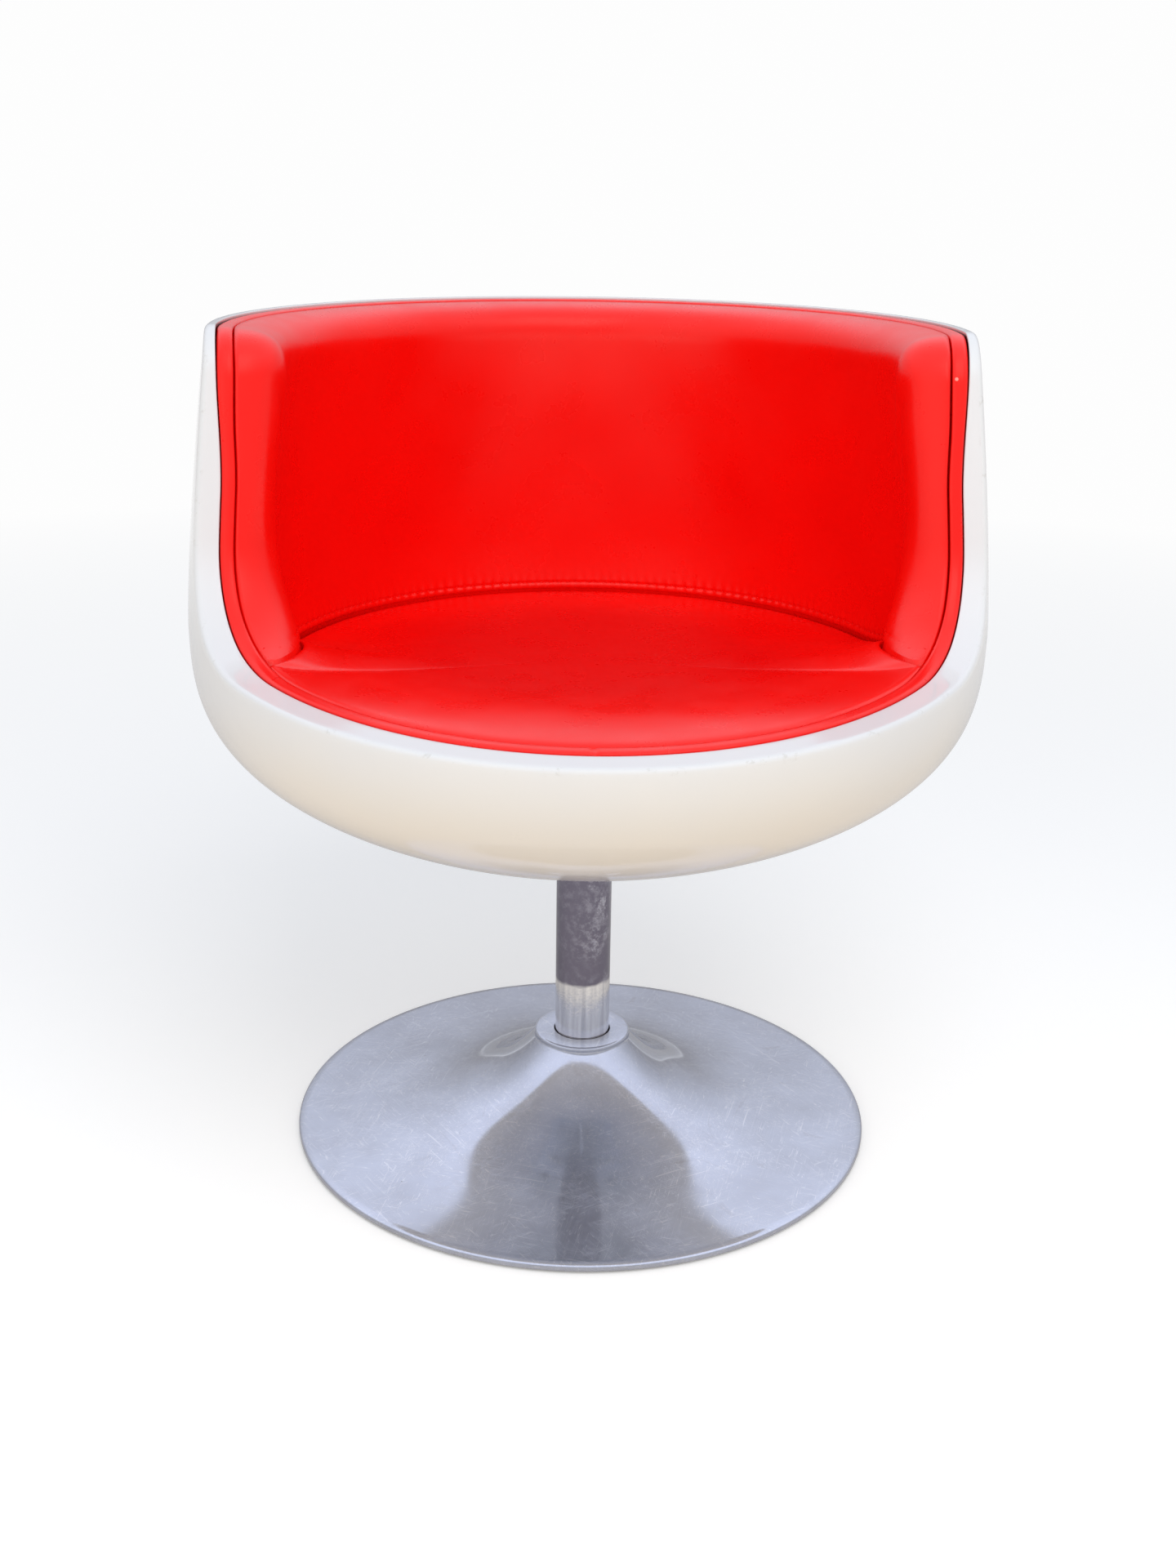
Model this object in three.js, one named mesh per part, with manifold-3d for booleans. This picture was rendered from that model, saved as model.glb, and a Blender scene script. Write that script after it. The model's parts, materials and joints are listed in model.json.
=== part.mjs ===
// Swivel cup chair: a moulded cup shell with a vinyl lining turns on a steel column in a cast trumpet base.
// Millimetres, +Z up, the floor at z = 0, the swivel axis on the Z axis, the sitter faces -Y.
import * as THREE from "three";
import { mergeVertices } from "three/addons/utils/BufferGeometryUtils.js";
import Module from "manifold-3d";

const wasm = await Module();
wasm.setup();

// ---------- driving dimensions ----------
const CLEARANCE = 0.3; // between two pieces that seat on each other
const RUNNING_GAP = 0.6; // between a turning piece and a fixed one

// Trumpet base
const BASE_DIA = 528;
const BASE_EDGE_Z = 8; // top of the disc at its edge
const BASE_EDGE_BOTTOM = 2.5;
const BASE_WALL = 5;
const TRUMPET_POWER = 3.5; // how sharply the disc sweeps up to the hub
const COLLAR_DIA = 88;
const COLLAR_TOP = 84;
const COLLAR_HEIGHT = 8;
const COLLAR_ROUND = 2.5;
const HUB_SQUARENESS = 6; // power of the rounded square under the collar
const HUB_FADE_START = 75; // radius where the four ridges start to die into the disc
const HUB_FADE_END = 150;
const HUB_TURN = 1; // degrees, the four flats against the chair's front
const SOCKET_FLOOR = 30;
const BOSS_DIA = 72;
const BOSS_BOTTOM = 17;
const BOSS_FLARE = 10; // metal that spreads from the boss into the disc
const BOSS_FLARE_DROP = 15; // from the top of the disc to the foot of the flare

// Under the base
const FLOOR_RING_INSET = 5; // from the edge of the disc to the outside of the ring
const FLOOR_RING_WIDTH = 14;
const FLOOR_RING_DEPTH = 2; // how far the ring sits up in its groove
const BALLAST_DIA = 208;
const BALLAST_THICK = 6;
const SPINDLE_WASHER_DIA = 56;
const SPINDLE_WASHER_THICK = 2;
const SPINDLE_NUT_ACROSS = 38;
const SPINDLE_NUT_HEIGHT = 6;

// Spindle, bushes and thrust bearing
const SPINDLE_DIA = 25;
const SPINDLE_TOP = 185;
const SPINDLE_SHOULDER_DIA = 40;
const SPINDLE_SHOULDER_HEIGHT = 6;
const SPINDLE_PIN_DIA = 12;
const SPINDLE_CHAMFER = 1.5;
const BUSH_HEIGHT = 22;
const BUSH_FLANGE = 2.5;
const UPPER_BUSH_DROP = 14; // below the top of the spindle
const RACE_DIA = 32;
const RACE_THICK = 3;
const BALL_DIA = 5;
const BALL_COUNT = 8;
const BALL_CIRCLE_DIA = 22;
const CAGE_THICK = 2.4;
const CAGE_LIP = 1.2; // metal left beside each ball pocket
const PLUG_THICK = 8;

// Column and mounting plate
const COLUMN_DIA = 50;
const COLUMN_WALL = 2.5;
const COLUMN_FOOT = 41; // lower end of the tube, inside the collar
const PLATE_SIDE = 150;
const PLATE_THICK = 5;
const PLATE_CORNER = 20;
const BOLT_SPACING = 108;
const BOLT_DIA = 8;
const BOLT_HEAD_ACROSS = 13;
const BOLT_HEAD_HEIGHT = 5.3;
const BOLT_TIP = 3; // thread that stands past the nut
const WASHER_DIA = 22;
const WASHER_THICK = 1.6;
const PAD_DIA = 26;
const PAD_THICK = 3;
const NUT_HEIGHT = 6.5;
const GUSSET_COUNT = 4;
const GUSSET_LENGTH = 38;
const GUSSET_HEIGHT = 18;
const GUSSET_THICK = 4;
const GUSSET_TOE = 4;
const INNER_PLATE_DIA = 184;
const INNER_PLATE_THICK = 4;

// Cup shell
const SHELL_DIA = 672;
const BELLY_Z = 489; // height of the widest level
const BOWL_POLE_Z = 271; // where the bowl curve would close on the axis
const SHELL_FLAT_Z = 290; // flat underside that the column plate bolts to
const BOWL_SIDE_POWER = 2.95;
const BOWL_POLE_POWER = 1.29;
const RIM_Z = 726;
const RIM_DIA = 620;
const TAPER_POWER = 1.3;
const SHELL_WALL = 5;
const FLANGE_THICK = 5;
const FLANGE_FRONT = 23.5; // flange width at the front lip
const FLANGE_SIDE = 18.8; // flange width half way up the sides
const FLANGE_TOP = 8.7; // flange width at the top of the back
const FLANGE_FRONT_Z = 445;
const FLANGE_SIDE_Z = 560;
const FLANGE_NARROWS_Z = 600; // height above which it narrows towards the top

// Cut of the mouth, seen from the side
const MOUTH_TOP_Y = -65; // where the lines of the top and of the side edge cross
const SIDE_LEAN = 10.2; // degrees from upright
const LIP_FRONT_Z = 456.3; // height of the lip line at the front of the shell
const LIP_SLOPE = 7.4; // degrees
const SWEEP_RADIUS = 114;
const CORNER_RADIUS = 41;

// Lining
const LINER_THICK = 4;
const BOARD_TOP_Z = 402;
const BOARD_THICK = 12;
const BORDER_GAP = 1; // open joint between the flange and the border
const BORDER_WIDTH = 12;
const BORDER_PROUD = 1;
const BORDER_DEPTH = 7; // below the flange face
const LINING_DEPTH = 66; // shell outside to the inner face of the back cushion
const BACK_ROLL = 34;
const BACK_ROLL_PROUD = 3;
const SEAM_END_Y = -158; // where the seam between back and seat meets the border
const SEAM_BACK_Z = 443;
const SEAM_CLIMB_START = 0.6; // shares of the way from the back's middle to the seam's end
const SEAM_CLIMB_END = 0.92;
const CORNER_FULL = 18; // how far the back's stuffing swells inwards by the ends of its seam
const CORNER_ANGLE = -23; // degrees, from the cup's side towards the front
const CORNER_SPREAD = 64;
const CUSHION_GAP = 0.95; // between a cushion and what it rests on
const SEAM_GAP = 2; // between two cushions where they meet at a curved seam
const STRIP_GAP = 1.4; // between the border and the cushions inside it
const LINING_GAP = 1.2; // between the curved liner and the back cushion, past the flats of their facets
const SEAT_MIDDLE_Z = 441;
const SEAT_CROWN = 20; // height of the front roll over the edge
const SEAT_ROLL_SHARE = 0.45; // of the way from the edge to the middle that the front roll takes
const SEAT_DISH_POWER = 3.2; // how flat the seat's middle is
const SEAT_DRAW_IN = 10; // how far the sides pull in at the bottom
const SEAT_STEP_START = 1; // degrees in front of the back cushion's end where the seat starts to widen
const SEAT_STEP_ANGLE = 9; // and where it is at its full width

// ---------- resolution ----------
const SHELL_SEGMENTS = 52;
const BASE_SEGMENTS = 48;
const COLUMN_SEGMENTS = 40;
const PLATE_SEGMENTS = 36;
const ROUND_SEGMENTS = 24;
const SMALL_SEGMENTS = 10;
const BALL_SEGMENTS = 8;
const BALL_ROWS = 5;
const PLATE_CORNER_STEPS = 5;
const DISC_ROWS = 9;
const DISC_ROW_POWER = 1.5; // rows lie closer at the hub, where the disc sweeps up
const HOLLOW_ROWS = 6;
const HOLLOW_ROW_POWER = 0.7;
const BOWL_ROWS = 11;
const WALL_ROWS = 4;
const FLANGE_ROWS = 16;
const SWEEP_STEPS = 9;
const CORNER_STEPS = 6;
const LOOP_POINTS = 80;
const FINE_STEPS = 4; // per millimetre along the mouth cut
const BEND_REACH = 60; // millimetres, how much closer the loop points lie where the mouth bends
const BEND_WINDOW = 15; // millimetres on each side over which the bend is measured
const SEAM_MARK_SPACING = 3; // millimetres between the marks of the border's seam
const BACK_FLAT_SHARES = [0, 1 / 3, 2 / 3]; // rows from the seat's seam up to the roll
const BACK_ROLL_SHARES = [1, 0.7, 0.42, 0.2, 0.07, 0]; // rows over the roll, as shares of its width
const BACK_ROLL_LIMIT = 0.7; // of a short section that the roll may take
const SEAT_RING_SHARES = [0.25, 0.5, 0.65, 0.78, 0.86, 0.92, 0.96, 1]; // from the middle to the edge
const WELD = 1e-4; // points closer than this are one
const THROUGH = 1; // how far a hole's cutter stands past the faces

const deg = THREE.MathUtils.degToRad;
const lerp = THREE.MathUtils.lerp;
const smooth = THREE.MathUtils.smoothstep;

// ---------- materials ----------
function finish(color, roughness, metalness) {
  return new THREE.MeshStandardMaterial({ color, roughness, metalness });
}
const whiteGloss = finish(0xe9e8e4, 0.15, 0);
const redVinyl = finish(0xe8231b, 0.45, 0);
const polishedAluminium = finish(0xc6c4cc, 0.25, 1);
const chrome = finish(0x9a9aa2, 0.12, 1);
const steel = finish(0x8a8d92, 0.4, 1);
const blackRubber = finish(0x202022, 0.8, 0);
const bronze = finish(0xb08a4e, 0.4, 1);
const birchPly = finish(0xc9a877, 0.7, 0);
const greySkin = finish(0x8f9092, 0.7, 0);

// ---------- meshes, cuts and joins ----------
function cleaned(geometry) {
  const bare = new THREE.BufferGeometry();
  bare.setAttribute("position", geometry.getAttribute("position"));
  bare.setIndex(geometry.getIndex());
  const merged = mergeVertices(bare, WELD);
  const kept = [];
  const old = merged.getIndex().array;
  for (let i = 0; i < old.length; i += 3) {
    const [a, b, c] = [old[i], old[i + 1], old[i + 2]];
    if (a !== b && b !== c && c !== a) kept.push(a, b, c);
  }
  merged.setIndex(kept);
  return merged;
}

function solid(geometry) {
  const g = cleaned(geometry);
  return new wasm.Manifold(
    new wasm.Mesh({
      numProp: 3,
      vertProperties: g.getAttribute("position").array,
      triVerts: new Uint32Array(g.getIndex().array),
    }),
  );
}

function geometryOf(body) {
  const mesh = body.getMesh();
  const geometry = new THREE.BufferGeometry();
  geometry.setAttribute("position", new THREE.BufferAttribute(mesh.vertProperties, 3));
  geometry.setIndex(new THREE.BufferAttribute(mesh.triVerts, 1));
  return geometry;
}

function cut(body, ...tools) {
  return geometryOf(tools.reduce((left, tool) => left.subtract(solid(tool)), solid(body)));
}

function join(...bodies) {
  return geometryOf(bodies.map(solid).reduce((left, right) => left.add(right)));
}

// A closed body from loops of points: neighbours are joined by faces. The ends are closed by fans about
// their middle, by fans from their first corner, or by each other where the loops run round a ring.
function skin(loops, ends = "middle") {
  const count = loops[0].length;
  const points = loops.flat();
  const index = [];
  const bands = ends === "ring" ? loops.length : loops.length - 1;
  for (let i = 0; i < bands; i++) {
    const here = i * count;
    const next = ((i + 1) % loops.length) * count;
    for (let j = 0; j < count; j++) {
      const k = (j + 1) % count;
      index.push(here + j, here + k, next + k, here + j, next + k, next + j);
    }
  }
  if (ends !== "ring") {
    [0, loops.length - 1].forEach((i) => {
      let hub = i * count;
      if (ends === "middle") {
        const middle = new THREE.Vector3();
        loops[i].forEach((p) => middle.addScaledVector(p, 1 / count));
        hub = points.push(middle) - 1;
      }
      for (let j = 0; j < count; j++) {
        const [a, b] = [i * count + j, i * count + ((j + 1) % count)];
        if (i === 0) index.push(hub, b, a);
        else index.push(hub, a, b);
      }
    });
  }
  const geometry = cleaned(new THREE.BufferGeometry().setFromPoints(points).setIndex(index));
  return volumeOf(geometry) > 0 ? geometry : turnedOut(geometry);
}

function volumeOf(geometry) {
  const position = geometry.getAttribute("position");
  const index = geometry.getIndex().array;
  const corner = [0, 1, 2].map(() => new THREE.Vector3());
  let six = 0;
  for (let i = 0; i < index.length; i += 3) {
    corner.forEach((p, k) => p.fromBufferAttribute(position, index[i + k]));
    six += corner[0].dot(corner[1].clone().cross(corner[2]));
  }
  return six / 6;
}

function turnedOut(geometry) {
  const index = Array.from(geometry.getIndex().array);
  for (let i = 0; i < index.length; i += 3) {
    [index[i + 1], index[i + 2]] = [index[i + 2], index[i + 1]];
  }
  return geometry.setIndex(index);
}

// A body of revolution about Z from [radius, z] points, which start and end on the axis or close.
function turned(profile, segments = ROUND_SEGMENTS) {
  const points = profile.map(([radius, z]) => new THREE.Vector2(radius, z));
  const geometry = cleaned(new THREE.LatheGeometry(points, segments).rotateX(Math.PI / 2));
  return volumeOf(geometry) > 0 ? geometry : turnedOut(geometry);
}

function ringBody(inner, outer, bottom, top, segments = ROUND_SEGMENTS) {
  const corners = [[inner, bottom], [outer, bottom], [outer, top], [inner, top], [inner, bottom]];
  return turned(corners, segments);
}

function disc(radius, bottom, top, segments = ROUND_SEGMENTS) {
  return turned([[0, bottom], [radius, bottom], [radius, top], [0, top]], segments);
}

function hexagon(across, bottom, top) {
  const prism = new THREE.CylinderGeometry(across / Math.sqrt(3), across / Math.sqrt(3), top - bottom, 6);
  return prism.rotateX(Math.PI / 2).translate(0, 0, (bottom + top) / 2);
}

const chair = new THREE.Group();
const turning = new THREE.Group();
chair.add(turning);

function place(name, geometry, material, group = chair) {
  const mesh = new THREE.Mesh(geometry, material);
  mesh.name = name;
  group.add(mesh);
  return mesh;
}

// ---------- trumpet base ----------
const baseRadius = BASE_DIA / 2;
const floorRingOuter = baseRadius - FLOOR_RING_INSET;
const collarRadius = COLLAR_DIA / 2;
const collarBottom = COLLAR_TOP - COLLAR_HEIGHT;
const socketRadius = COLUMN_DIA / 2 + RUNNING_GAP;
const spindleRadius = SPINDLE_DIA / 2;
const boreRadius = spindleRadius + CLEARANCE;

function trumpetHeight(radius) {
  const share = Math.max(0, (baseRadius - radius) / (baseRadius - collarRadius));
  return BASE_EDGE_Z + (collarBottom - BASE_EDGE_Z) * share ** TRUMPET_POWER;
}

// Near the hub the level lines are rounded squares, whose corners are the four ridges.
function squaredRadius(radius, angle) {
  const a = angle - deg(HUB_TURN);
  const power = HUB_SQUARENESS;
  const level = (Math.abs(Math.cos(a)) ** power + Math.abs(Math.sin(a)) ** power) ** (1 / power);
  const ridge = 2 ** (1 / power - 1 / 2);
  const strength = 1 - smooth(radius, HUB_FADE_START, HUB_FADE_END);
  return radius * (1 + (level / ridge - 1) * strength);
}

function baseLoops() {
  const rings = [];
  const flat = (radius, z) => rings.push(() => [radius, z]);
  const swept = (radius, drop) =>
    rings.push((angle) => [radius, trumpetHeight(squaredRadius(radius, angle)) - drop]);
  flat(socketRadius, COLLAR_TOP - COLLAR_ROUND / 2);
  flat(socketRadius + COLLAR_ROUND / 2, COLLAR_TOP);
  flat(collarRadius - COLLAR_ROUND, COLLAR_TOP);
  flat(collarRadius, COLLAR_TOP - COLLAR_ROUND);
  flat(collarRadius, collarBottom + COLLAR_ROUND / 2);
  for (let i = 0; i <= DISC_ROWS; i++) {
    swept(lerp(collarRadius, baseRadius - COLLAR_ROUND, (i / DISC_ROWS) ** DISC_ROW_POWER), 0);
  }
  const grooveTop = BASE_EDGE_BOTTOM + FLOOR_RING_DEPTH;
  const grooveOuter = floorRingOuter + CLEARANCE;
  const grooveInner = floorRingOuter - FLOOR_RING_WIDTH - CLEARANCE;
  flat(baseRadius, BASE_EDGE_Z - COLLAR_ROUND);
  flat(baseRadius, BASE_EDGE_BOTTOM);
  flat(grooveOuter, BASE_EDGE_BOTTOM);
  flat(grooveOuter, grooveTop);
  flat(grooveInner, grooveTop);
  flat(grooveInner, BASE_EDGE_BOTTOM);
  const hollowOuter = grooveInner - BASE_WALL;
  flat(hollowOuter, BASE_EDGE_BOTTOM);
  for (let i = 0; i <= HOLLOW_ROWS; i++) {
    swept(lerp(hollowOuter, BOSS_DIA / 2 + BOSS_FLARE, (i / HOLLOW_ROWS) ** HOLLOW_ROW_POWER), BASE_WALL);
  }
  flat(BOSS_DIA / 2, trumpetHeight(BOSS_DIA) - BOSS_FLARE_DROP);
  flat(BOSS_DIA / 2, BOSS_BOTTOM);
  flat(boreRadius, BOSS_BOTTOM);
  flat(boreRadius, SOCKET_FLOOR);
  flat(socketRadius, SOCKET_FLOOR);
  return rings.map((at) =>
    Array.from({ length: BASE_SEGMENTS }, (_, j) => {
      const angle = (2 * Math.PI * j) / BASE_SEGMENTS;
      const [radius, z] = at(angle);
      return new THREE.Vector3(radius * Math.cos(angle), radius * Math.sin(angle), z);
    }),
  );
}

function addBase() {
  place("base_disc", skin(baseLoops(), "ring"), polishedAluminium);
  const ringTop = BASE_EDGE_BOTTOM + FLOOR_RING_DEPTH - CLEARANCE;
  const ring = ringBody(floorRingOuter - FLOOR_RING_WIDTH, floorRingOuter, 0, ringTop, BASE_SEGMENTS);
  place("floor_ring", ring, blackRubber);
  const ballastTop = BOSS_BOTTOM - CLEARANCE;
  const ballastBottom = ballastTop - BALLAST_THICK;
  const ballast = ringBody(boreRadius, BALLAST_DIA / 2, ballastBottom, ballastTop, PLATE_SEGMENTS);
  place("ballast_plate", ballast, steel);
  const washerTop = ballastBottom - CLEARANCE;
  const washerBottom = washerTop - SPINDLE_WASHER_THICK;
  place("spindle_washer", ringBody(boreRadius, SPINDLE_WASHER_DIA / 2, washerBottom, washerTop), steel);
  const nutTop = washerBottom - CLEARANCE;
  const nutBottom = nutTop - SPINDLE_NUT_HEIGHT;
  const nut = hexagon(SPINDLE_NUT_ACROSS, nutBottom, nutTop);
  place("spindle_nut", cut(nut, disc(boreRadius, nutBottom - THROUGH, nutTop + THROUGH)), steel);
  return nutBottom;
}

// ---------- spindle, bushes and thrust bearing ----------
const tubeInner = COLUMN_DIA / 2 - COLUMN_WALL;
const lowerRaceTop = SPINDLE_TOP + CLEARANCE + RACE_THICK;
const ballMiddle = lowerRaceTop + CLEARANCE + BALL_DIA / 2;
const upperRaceBottom = ballMiddle + BALL_DIA / 2 + CLEARANCE;
const plugBottom = upperRaceBottom + RACE_THICK + CLEARANCE;

function addSpindle(footZ) {
  const shoulderBottom = SOCKET_FLOOR + CLEARANCE;
  const shoulderTop = shoulderBottom + SPINDLE_SHOULDER_HEIGHT;
  const shoulderRadius = SPINDLE_SHOULDER_DIA / 2;
  const pinTop = SPINDLE_TOP + CLEARANCE + RACE_THICK;
  const profile = [
    [0, footZ],
    [spindleRadius - SPINDLE_CHAMFER, footZ],
    [spindleRadius, footZ + SPINDLE_CHAMFER],
    [spindleRadius, shoulderBottom],
    [shoulderRadius, shoulderBottom],
    [shoulderRadius, shoulderTop],
    [spindleRadius, shoulderTop],
    [spindleRadius, SPINDLE_TOP],
    [SPINDLE_PIN_DIA / 2, SPINDLE_TOP],
    [SPINDLE_PIN_DIA / 2, pinTop],
    [0, pinTop],
  ];
  place("spindle", turned(profile), steel);
}

function addBushes() {
  const bore = spindleRadius + CLEARANCE;
  const body = tubeInner - CLEARANCE;
  const flangeRadius = COLUMN_DIA / 2 - CLEARANCE;
  const foot = COLUMN_FOOT - CLEARANCE;
  const flanged = [
    [bore, foot - BUSH_FLANGE],
    [flangeRadius, foot - BUSH_FLANGE],
    [flangeRadius, foot],
    [body, foot],
    [body, foot + BUSH_HEIGHT],
    [bore, foot + BUSH_HEIGHT],
    [bore, foot - BUSH_FLANGE],
  ];
  place("lower_bush", turned(flanged), bronze, turning);
  const top = SPINDLE_TOP - UPPER_BUSH_DROP;
  place("upper_bush", ringBody(bore, body, top - BUSH_HEIGHT, top), bronze, turning);
}

function addThrustBearing() {
  const bore = SPINDLE_PIN_DIA / 2 + CLEARANCE;
  const lowerBottom = SPINDLE_TOP + CLEARANCE;
  place("bearing_lower_race", ringBody(bore, RACE_DIA / 2, lowerBottom, lowerRaceTop), chrome);
  const circle = BALL_CIRCLE_DIA / 2;
  const pocket = BALL_DIA / 2 + CLEARANCE;
  const [cageBottom, cageTop] = [ballMiddle - CAGE_THICK / 2, ballMiddle + CAGE_THICK / 2];
  const cage = ringBody(circle - pocket - CAGE_LIP, circle + pocket + CAGE_LIP, cageBottom, cageTop);
  const pockets = [];
  for (let i = 0; i < BALL_COUNT; i++) {
    const angle = (2 * Math.PI * i) / BALL_COUNT;
    const [x, y] = [circle * Math.cos(angle), circle * Math.sin(angle)];
    const opening = disc(pocket, cageBottom - THROUGH, cageTop + THROUGH, SMALL_SEGMENTS);
    pockets.push(opening.translate(x, y, 0));
    const ball = new THREE.SphereGeometry(BALL_DIA / 2, BALL_SEGMENTS, BALL_ROWS);
    place(`bearing_ball_${i + 1}`, ball, chrome).position.set(x, y, ballMiddle);
  }
  place("bearing_cage", cut(cage, ...pockets), bronze);
  const upperTop = upperRaceBottom + RACE_THICK;
  place("bearing_upper_race", ringBody(bore, RACE_DIA / 2, upperRaceBottom, upperTop), chrome, turning);
}

// ---------- column and mounting plate ----------
const plateTop = SHELL_FLAT_Z - PAD_THICK - 2 * CLEARANCE;
const plateBottom = plateTop - PLATE_THICK;

function squarePlate(side, corner, bottom, top) {
  const half = side / 2;
  const shape = new THREE.Shape();
  shape.absarc(half - corner, half - corner, corner, 0, Math.PI / 2);
  shape.absarc(corner - half, half - corner, corner, Math.PI / 2, Math.PI);
  shape.absarc(corner - half, corner - half, corner, Math.PI, 1.5 * Math.PI);
  shape.absarc(half - corner, corner - half, corner, 1.5 * Math.PI, 2 * Math.PI);
  const options = { depth: top - bottom, bevelEnabled: false, curveSegments: PLATE_CORNER_STEPS };
  return new THREE.ExtrudeGeometry(shape, options).translate(0, 0, bottom);
}

function boltPlaces() {
  const half = BOLT_SPACING / 2;
  return [[half, half], [-half, half], [-half, -half], [half, -half]];
}

function boltHoles(bottom, top) {
  const radius = BOLT_DIA / 2 + CLEARANCE;
  return boltPlaces().map(([x, y]) => disc(radius, bottom, top, SMALL_SEGMENTS).translate(x, y, 0));
}

function addColumn() {
  const tube = ringBody(tubeInner, COLUMN_DIA / 2, COLUMN_FOOT, plateBottom - CLEARANCE, COLUMN_SEGMENTS);
  place("column_tube", tube, chrome, turning);
  const plug = disc(tubeInner - CLEARANCE, plugBottom, plugBottom + PLUG_THICK);
  place("column_plug", plug, steel, turning);
  const plate = squarePlate(PLATE_SIDE, PLATE_CORNER, plateBottom, plateTop);
  const plateHoles = boltHoles(plateBottom - THROUGH, plateTop + THROUGH);
  place("mounting_plate", cut(plate, ...plateHoles), steel, turning);
  for (let i = 0; i < GUSSET_COUNT; i++) {
    const shape = new THREE.Shape();
    const inner = COLUMN_DIA / 2 + CLEARANCE;
    const top = plateBottom - CLEARANCE;
    shape.moveTo(inner, top);
    shape.lineTo(inner, top - GUSSET_HEIGHT);
    shape.lineTo(inner + GUSSET_TOE, top - GUSSET_HEIGHT);
    shape.lineTo(inner + GUSSET_LENGTH, top - GUSSET_TOE);
    shape.lineTo(inner + GUSSET_LENGTH, top);
    const rib = new THREE.ExtrudeGeometry(shape, { depth: GUSSET_THICK, bevelEnabled: false });
    rib.translate(0, 0, -GUSSET_THICK / 2).rotateX(Math.PI / 2);
    place(`gusset_${i + 1}`, rib, steel, turning).rotation.z = (2 * Math.PI * i) / GUSSET_COUNT;
  }
}

function addPlateFasteners() {
  const washerTop = plateBottom - CLEARANCE;
  const headTop = washerTop - WASHER_THICK - CLEARANCE;
  const padBottom = plateTop + CLEARANCE;
  const innerBottom = SHELL_FLAT_Z + SHELL_WALL + CLEARANCE;
  const innerTop = innerBottom + INNER_PLATE_THICK;
  const nutBottom = innerTop + CLEARANCE;
  const nutTop = nutBottom + NUT_HEIGHT;
  const hole = BOLT_DIA / 2 + CLEARANCE;
  const inner = disc(INNER_PLATE_DIA / 2, innerBottom, innerTop, PLATE_SEGMENTS);
  const innerHoles = boltHoles(innerBottom - THROUGH, innerTop + THROUGH);
  place("inner_plate", cut(inner, ...innerHoles), steel, turning);
  boltPlaces().forEach(([x, y], i) => {
    const shank = disc(BOLT_DIA / 2, headTop - THROUGH, nutTop + BOLT_TIP, SMALL_SEGMENTS);
    const bolt = join(hexagon(BOLT_HEAD_ACROSS, headTop - BOLT_HEAD_HEIGHT, headTop), shank);
    const nut = hexagon(BOLT_HEAD_ACROSS, nutBottom, nutTop);
    const bored = cut(nut, disc(hole, nutBottom - THROUGH, nutTop + THROUGH, SMALL_SEGMENTS));
    const washer = ringBody(hole, WASHER_DIA / 2, washerTop - WASHER_THICK, washerTop, SMALL_SEGMENTS);
    const pad = ringBody(hole, PAD_DIA / 2, padBottom, padBottom + PAD_THICK, SMALL_SEGMENTS);
    place(`seat_bolt_${i + 1}`, bolt, steel, turning).position.set(x, y, 0);
    place(`seat_nut_${i + 1}`, bored, steel, turning).position.set(x, y, 0);
    place(`bolt_washer_${i + 1}`, washer, steel, turning).position.set(x, y, 0);
    place(`rubber_pad_${i + 1}`, pad, blackRubber, turning).position.set(x, y, 0);
  });
}

// ---------- form of the cup ----------
// Radius of the shell's outside at a height: a bowl below the belly, a slow taper above it.
function shellRadius(z) {
  const widest = SHELL_DIA / 2;
  if (z < BELLY_Z) {
    const fall = (BELLY_Z - z) / (BELLY_Z - BOWL_POLE_Z);
    return widest * (1 - fall ** BOWL_SIDE_POWER) ** (1 / BOWL_POLE_POWER);
  }
  const rise = (z - BELLY_Z) / (RIM_Z - BELLY_Z);
  return widest - (widest - RIM_DIA / 2) * rise ** TAPER_POWER;
}

function flangeWidth(z) {
  const low = lerp(FLANGE_FRONT, FLANGE_SIDE, smooth(z, FLANGE_FRONT_Z, FLANGE_SIDE_Z));
  return low - (FLANGE_SIDE - FLANGE_TOP) * smooth(z, FLANGE_NARROWS_Z, RIM_Z);
}

// [radius, z] points of the shell's outside, from the flat underside to above the rim.
function shellOutline(topZ) {
  const points = [];
  const start = Math.acos((BELLY_Z - SHELL_FLAT_Z) / (BELLY_Z - BOWL_POLE_Z));
  for (let i = 0; i <= BOWL_ROWS; i++) {
    const angle = lerp(start, Math.PI / 2, i / BOWL_ROWS);
    const z = BELLY_Z - (BELLY_Z - BOWL_POLE_Z) * Math.cos(angle);
    points.push([shellRadius(z), z]);
  }
  for (let i = 1; i <= WALL_ROWS; i++) {
    const z = lerp(BELLY_Z, topZ, i / WALL_ROWS);
    points.push([shellRadius(z), z]);
  }
  return points;
}

// The same outline moved square to itself into the cup.
function insetOutline(outline, depth) {
  return outline.map(([radius, z], i) => {
    const before = outline[Math.max(i - 1, 0)];
    const after = outline[Math.min(i + 1, outline.length - 1)];
    const along = new THREE.Vector2(after[0] - before[0], after[1] - before[1]).normalize();
    if (i === 0) return [radius - (depth * along.y) / (1 + along.x), z + depth];
    return [radius - depth * along.y, z + depth * along.x];
  });
}

function bowl(outline) {
  const top = outline[outline.length - 1];
  return turned([[0, outline[0][1]], ...outline, [0, top[1]]], SHELL_SEGMENTS);
}

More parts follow.
